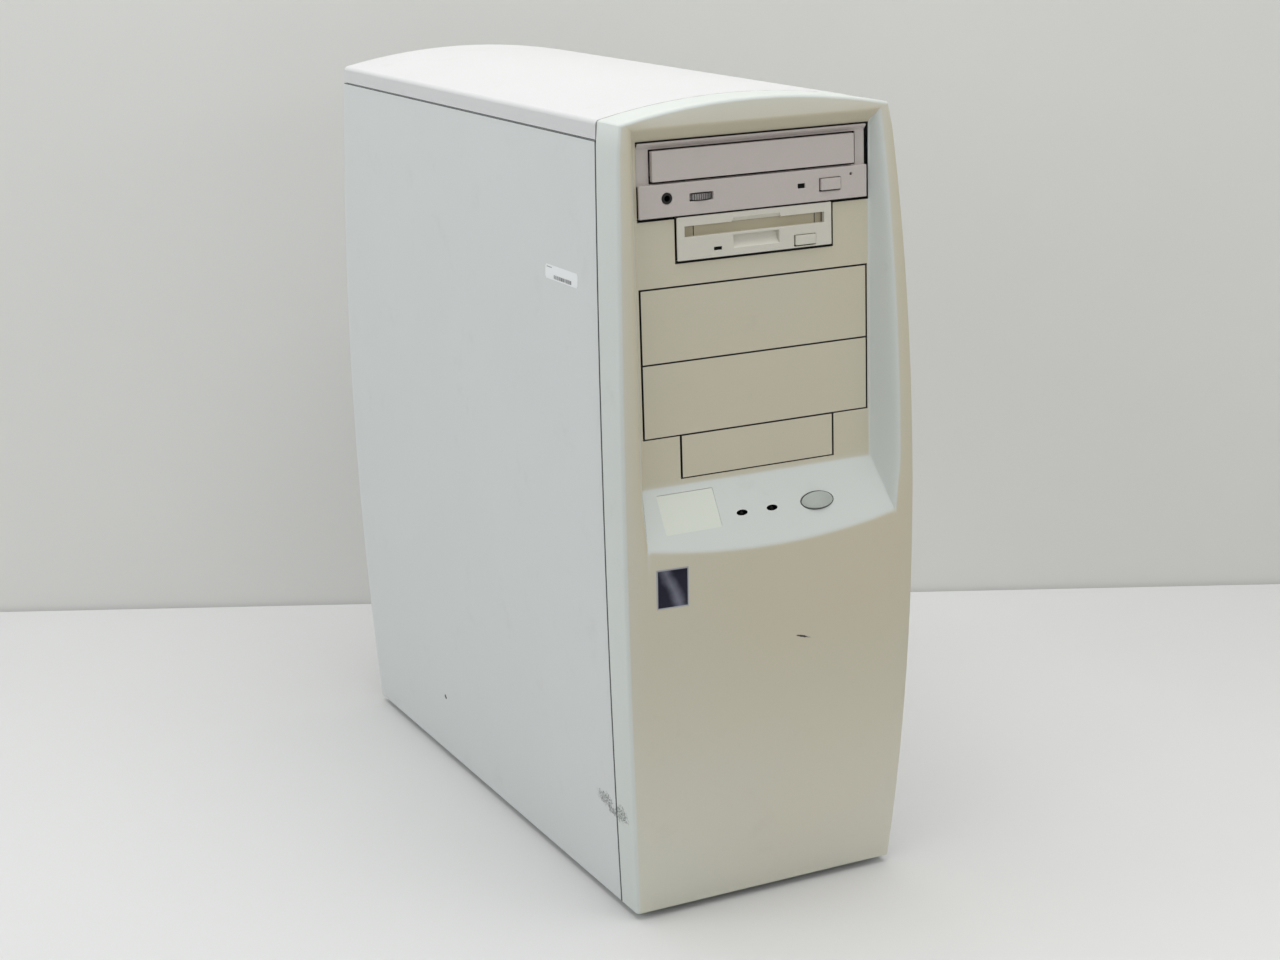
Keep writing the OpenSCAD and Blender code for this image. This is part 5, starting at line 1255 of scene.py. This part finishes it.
def floppy_front():
    """The floppy drive's front: slot with its notch, finger scoop, lamp window and button hole."""
    work = bmesh.new()
    z0, z1 = SLOT_Z
    (n0, n1), notch_z = NOTCH_X, z1 + NOTCH_RISE
    slant0, slant1 = n0 - NOTCH_SLANT, n1 + NOTCH_SLANT
    slot = [
        (-SLOT_HALF, z0), (SLOT_HALF, z0), (SLOT_HALF, z1), (slant1, z1), (n1, notch_z),
        (n0, notch_z), (slant0, z1), (-SLOT_HALF, z1),
    ]
    levels = spaced(*SCOOP_Z, SCOOP_ROWS)
    scoop = [(SCOOP_X[1], z) for z in levels] + [(SCOOP_X[0], z) for z in levels[::-1]]
    outline = box_loop((-FD_HALF, FD_HALF), FD_Z, DRIVE_CORNER)
    holes = [slot, *FLOPPY_OPENINGS]
    [(loop, rim)] = moulded_front(work, lambda z: FD_FACE, FD_EDGE, outline, holes, [scoop])
    centre_z = z1 - SCOOP_DROP

    def ramp_y(z):
        deep = math.sqrt(max(SCOOP_R**2 - (z - centre_z) ** 2, 0)) - SCOOP_R + SCOOP_DEPTH
        return FD_FACE + max(deep, 0)

    floor = {(x, z): work.verts.new(row(x, ramp_y(z), z)) for x, z in loop}
    for i, j in ring_edges(0, len(loop)):
        work.faces.new((rim[i], floor[loop[i]], floor[loop[j]], rim[j]))
    # The scoop's floor takes the lighter plastic: painted light where the ramp faces up
    for low, high in zip(levels, levels[1:]):
        corners = [(SCOOP_X[0], low), (SCOOP_X[1], low), (SCOOP_X[1], high), (SCOOP_X[0], high)]
        work.faces.new([floor[c] for c in corners]).material_index = 1
    # The notch's sloping back
    deep_y, shallow_y = (FD_FACE + depth for depth in NOTCH_DEPTHS)
    back = (
        (slant0, deep_y, z1 - 0.1), (slant1, deep_y, z1 - 0.1), (n1, shallow_y, notch_z),
        (n0, shallow_y, notch_z),
    )
    work.faces.new([work.verts.new(row(*corner)) for corner in back])
    piece = front_piece(
        "floppy_front_moulding", work, finish("floppy front"), "floppy_bezel"
    )
    piece.data.materials.append(finish("scoop"))


class OBJECT_OT_tower_blanks(Operator):
    """Finishes the three bay blanks"""

    bl_idname = "object.tower_blanks"
    bl_label = "Bay blanks"

    def execute(self, context):
        for node in BLANKS:
            finish_nodes((node,), node, context.scene.tower_sizes.lip_radius)
        return {"FINISHED"}


class OBJECT_OT_tower_cd_front(Operator):
    """Finishes the CD drive's front, tray, button, wheel and socket"""

    bl_idname = "object.tower_cd_front"
    bl_label = "CD drive front"

    def execute(self, context):
        lip = context.scene.tower_sizes.lip_radius
        cd_front()
        finish_nodes(("cd_bezel", "cd_eject_button"), "drive", lip)
        finish_nodes(("cd_tray",), "drive", lip * TRAY_SHARE)
        finish_nodes(("cd_volume_wheel",), "wheel")
        finish_nodes(("cd_headphone_jack",), "jet")
        return {"FINISHED"}


class OBJECT_OT_tower_floppy_front(Operator):
    """Finishes the floppy drive's front, door and button"""

    bl_idname = "object.tower_floppy_front"
    bl_label = "Floppy drive front"

    def execute(self, context):
        lip = context.scene.tower_sizes.lip_radius
        floppy_front()
        finish_nodes(("floppy_bezel", "floppy_eject_button"), "floppy", lip)
        finish_nodes(("floppy_door",), "door", lip * DOOR_SHARE)
        finish_nodes(("drive_lamps", "status_lamps"), "lamp")
        return {"FINISHED"}


class OBJECT_OT_tower_controls(Operator):
    """Finishes the power button and the bare name plate"""

    bl_idname = "object.tower_controls"
    bl_label = "Shelf controls"

    def execute(self, context):
        finish_nodes(("power_button",), "button", BUTTON_EDGE)
        finish_nodes(("name_plate",), "plate", PLATE_EDGE)
        finish_nodes(("power_switch",), "dark")
        return {"FINISHED"}


# ---- Badge, covers and label ----


def sticker(us, vs, at, out, rim_out, corner, profile, winding):
    """A thin sheet over a grid of places, lower at its rim and with round corners."""
    work = bmesh.new()
    rows = []
    for u in us:
        line = []
        for v in vs:
            on_rim = u in (us[0], us[-1]) or v in (vs[0], vs[-1])
            line.append(work.verts.new(row(*at(u, v, rim_out if on_rim else out))))
        rows.append(line)
    for low, high in zip(rows, rows[1:]):
        for i in range(len(vs) - 1):
            work.faces.new((low[i], *(low[i + 1], high[i + 1], high[i])[::winding]))
    corners = [rows[i][j] for i in (0, -1) for j in (0, -1)]
    bmesh.ops.bevel(work, geom=corners, offset=corner, segments=3, affect="VERTICES", profile=profile)
    return work


class OBJECT_OT_tower_badge(Operator):
    """Lays the plain foil badge on the curved front"""

    bl_idname = "object.tower_badge"
    bl_label = "Case badge"

    def execute(self, context):
        xs, zs = (
            [middle + t for t in (-half, BADGE_ROLL - half, -inner, 0, inner, half - BADGE_ROLL, half)]
            for middle, half, inner in ((BADGE_X, BADGE_W / 2, 5), (BADGE_Z, BADGE_H / 2, 7))
        )

        def at(x, z, out):
            return x, front_y(x, z) - out, z

        work = sticker(xs, zs, at, out=0.22, rim_out=0.06, corner=0.0015, profile=0.5, winding=-1)
        new_piece("case_badge_foil", work, finish("foil"), ["case_badge"])
        return {"FINISHED"}


class OBJECT_OT_tower_covers(Operator):
    """Paints the side panels and the arched top, and sticks the asset label on"""

    bl_idname = "object.tower_covers"
    bl_label = "Covers and label"

    def execute(self, context):
        sizes = context.scene.tower_sizes
        panels = ("left_side_panel", "right_side_panel")
        finish_nodes(panels, "paint")
        for panel in panels:
            crisp(NODES[panel])
        finish_nodes(("top_cover",), "top paint", sizes.panel_radius)

        def at(y, z, out):
            return -side_x(z) - out, y, z

        ys = spaced(LABEL_Y, LABEL_Y + sizes.label_w * 1000, 6)
        zs = spaced(LABEL_Z, LABEL_Z + sizes.label_h * 1000, 4)
        work = sticker(ys, zs, at, out=0.12, rim_out=0.03, corner=0.001, profile=0.0, winding=1)
        new_piece("asset_label", work, finish("label"), body="left_panel")
        return {"FINISHED"}


# ---- Chassis, electronics and drives ----

FINISHES = {
    "steel": (
        "base_pan", "front_frame", "rear_panel", "top_frame", "board_tray", "drive_cage", "floppy_bracket",
        "hard_drive_cage", "slot_covers", "psu_case", "cd_case", "floppy_case",
    ),
    "bright": ("left_panel_screws", "right_panel_screws", "rear_screws", "io_shield", "psu_fan_guard"),
    "cast": ("hard_drive", "floppy_deck"),
    "black": (
        "psu_fan_frame", "psu_fan_rotor", "mains_inlet", "processor_cartridge", "processor_fan_rotor",
        "sound_jacks", "speaker",
    ),
    "dark": ("cd_deck", "cd_turntable", "cd_laser_sled", "rear_ports"),
    "red": ("voltage_slider",),
    "board": ("psu_circuit", "main_board", "memory_modules", "video_card", "sound_card"),
    "socket": ("expansion_sockets",),
    "cable": ("ribbon_cables",),
    "rubber": ("feet",),
}


class OBJECT_OT_tower_inside(Operator):
    """Finishes the chassis, the electronics, the drives and the feet"""

    bl_idname = "object.tower_inside"
    bl_label = "Chassis and inside"

    def execute(self, context):
        for name, nodes in FINISHES.items():
            finish_nodes(nodes, name)
        return {"FINISHED"}


# ---- Stage ----

# Where the wall meets the table behind the machine, in metres
WALL_LINE = (Vector((-0.3006, 0.6067)), Vector((0.6754, 0.1017)))
# How high and how far past that line's ends the wall goes, how deep the table is, and how far the
# wall's foot lies behind and below the line
WALL_TOP = 3.0
WALL_REACH = 3.0
TABLE_DEPTH = 4.0
WALL_BEHIND = 0.004
WALL_FOOT = -0.02
# Name, place, aim, size, power, tint and spread in degrees of each light
LIGHTS = (
    ("Ceiling light", (0.05, -0.25, 1.9), (0.05, -0.1, 0.2), (1.8, 1.8), 24.2, (1, 1, 1), 180),
    ("Left light", (-2.0, 0.6, 1.3), (0, 0, 0.25), (1.2, 1.2), 9.8, (0.91, 0.96, 1.0), 180),
    ("Left front light", (-1.8, -1.0, 1.2), (0, 0, 0.2), (1.0, 1.0), 2.9, (0.95, 0.98, 1.0), 180),
    ("Table light", (0.3, -0.95, 0.75), (0.2, -0.75, 0.0), (0.6, 0.4), 1.3, (1, 1, 1), 180),
    ("Wall light", (0.2, 0.25, 1.35), (0.15, 0.62, 0.75), (1.0, 0.3), 2.1, (1, 1, 1), 180),
    ("Low light", (0.4, -1.3, 0.03), (0.03, -0.2, 0.03), (0.8, 0.06), 0.035, (1, 1, 1), 14),
)
ROOM_LIGHT = 0.38
LENS = 67.108
SENSOR = 36.0
VIEW_END = 20.0
CAMERA_TURN = (
    (0.89728, 0.140895, -0.418375),
    (-0.440453, 0.221672, -0.869979),
    (-0.029834, 0.964889, 0.260959),
)
CAMERA_PLACE = (-0.65102, -1.21441 + CENTRE_Y / 1000, 0.62735 + FOOT_H / 1000)


def plain_material(name, tint, roughness):
    w = Surface(name)
    return w.coat(w.toned(tint, w.noise(5.0, 4.0), 0.04), roughness)


def one_sided(material):
    """Leaves a backdrop clear where it would be seen from behind."""
    w = Wiring(material.node_tree)
    nodes = material.node_tree.nodes
    behind = w.add("ShaderNodeNewGeometry").outputs["Backfacing"]
    clear = w.add("ShaderNodeBsdfTransparent").outputs[0]
    solid = nodes["Principled BSDF"].outputs[0]
    both = w.add("ShaderNodeMixShader", {0: behind, 1: solid, 2: clear}).outputs[0]
    w.feed(nodes["Material Output"], {"Surface": both})
    return material


def sheet_object(name, corners, material):
    mesh = bpy.data.meshes.new(name)
    mesh.from_pydata([Vector(c) for c in corners], [], [tuple(range(len(corners)))])
    made = bpy.data.objects.new(name, mesh)
    bpy.context.scene.collection.objects.link(made)
    dress(made, material)


def soft_light(name, place, aim, size, power, tint, spread):
    data = bpy.data.lights.new(name, "AREA")
    data.shape = "RECTANGLE"
    data.size, data.size_y = size
    data.energy = power
    data.spread = math.radians(spread)
    data.color = tint
    made = bpy.data.objects.new(name, data)
    made.location = place
    made.rotation_euler = (Vector(aim) - Vector(place)).to_track_quat("-Z", "Y").to_euler()
    bpy.context.scene.collection.objects.link(made)


class OBJECT_OT_tower_stage(Operator):
    """Sets up the table, the wall, soft lights and the camera"""

    bl_idname = "object.tower_stage"
    bl_label = "Stage"

    def execute(self, context):
        scene = context.scene
        colours = scene.tower_colours
        scene.view_settings.view_transform = "Standard"
        left, right = WALL_LINE
        along = (right - left).normalized()
        back = Vector((-along.y, along.x))
        left, right = left - along * WALL_REACH, right + along * WALL_REACH
        near_left, near_right = left - back * TABLE_DEPTH, right - back * TABLE_DEPTH
        table = plain_material("Table top", colours.table, 0.55)
        wall = one_sided(plain_material("Wall paint", colours.wall, 0.9))
        sheet_object("table", [(*p, 0) for p in (near_left, near_right, right, left)], table)
        left, right = left + back * WALL_BEHIND, right + back * WALL_BEHIND
        foot = [(*left, WALL_FOOT), (*right, WALL_FOOT)]
        sheet_object("wall", [*foot, (*right, WALL_TOP), (*left, WALL_TOP)], wall)
        world = bpy.data.worlds.new("Room light")
        world.use_nodes = True
        sky = world.node_tree.nodes["Background"].inputs
        sky["Color"].default_value = (1, 1, 1, 1)
        sky["Strength"].default_value = ROOM_LIGHT
        scene.world = world
        for light in LIGHTS:
            soft_light(*light)
        data = bpy.data.cameras.new("Camera")
        data.lens = LENS
        data.sensor_width = SENSOR
        data.clip_end = VIEW_END
        camera = bpy.data.objects.new("Camera", data)
        camera.matrix_world = Matrix.Translation(CAMERA_PLACE) @ Matrix(CAMERA_TURN).to_4x4()
        scene.collection.objects.link(camera)
        scene.camera = camera
        return {"FINISHED"}


class VIEW3D_PT_tower(Panel):
    """Lists the steps that build the tower computer's looks"""

    bl_label = "Tower computer"
    bl_idname = "VIEW3D_PT_tower"
    bl_space_type = "VIEW_3D"
    bl_region_type = "UI"
    bl_category = "Tower"

    def draw(self, context):
        column = self.layout.column(align=True)
        for step in STEPS:
            column.operator(step.bl_idname, text=step.bl_label)
        for name in ("tower_sizes", "tower_colours"):
            box = self.layout.box()
            values = getattr(context.scene, name)
            for key in values.__annotations__:
                box.prop(values, key)


STEPS = (
    OBJECT_OT_tower_stage,
    OBJECT_OT_tower_bezel,
    OBJECT_OT_tower_blanks,
    OBJECT_OT_tower_cd_front,
    OBJECT_OT_tower_floppy_front,
    OBJECT_OT_tower_controls,
    OBJECT_OT_tower_badge,
    OBJECT_OT_tower_covers,
    OBJECT_OT_tower_inside,
)
CLASSES = (TowerSizes, TowerColours, *STEPS, VIEW3D_PT_tower)


def register():
    for item in CLASSES:
        bpy.utils.register_class(item)
    bpy.types.Scene.tower_sizes = PointerProperty(type=TowerSizes)
    bpy.types.Scene.tower_colours = PointerProperty(type=TowerColours)


def unregister():
    del bpy.types.Scene.tower_colours
    del bpy.types.Scene.tower_sizes
    for item in reversed(CLASSES):
        bpy.utils.unregister_class(item)


def main():
    register()
    for step in STEPS:
        area, name = step.bl_idname.split(".")
        getattr(getattr(bpy.ops, area), name)()


if __name__ == "__main__":
    main()
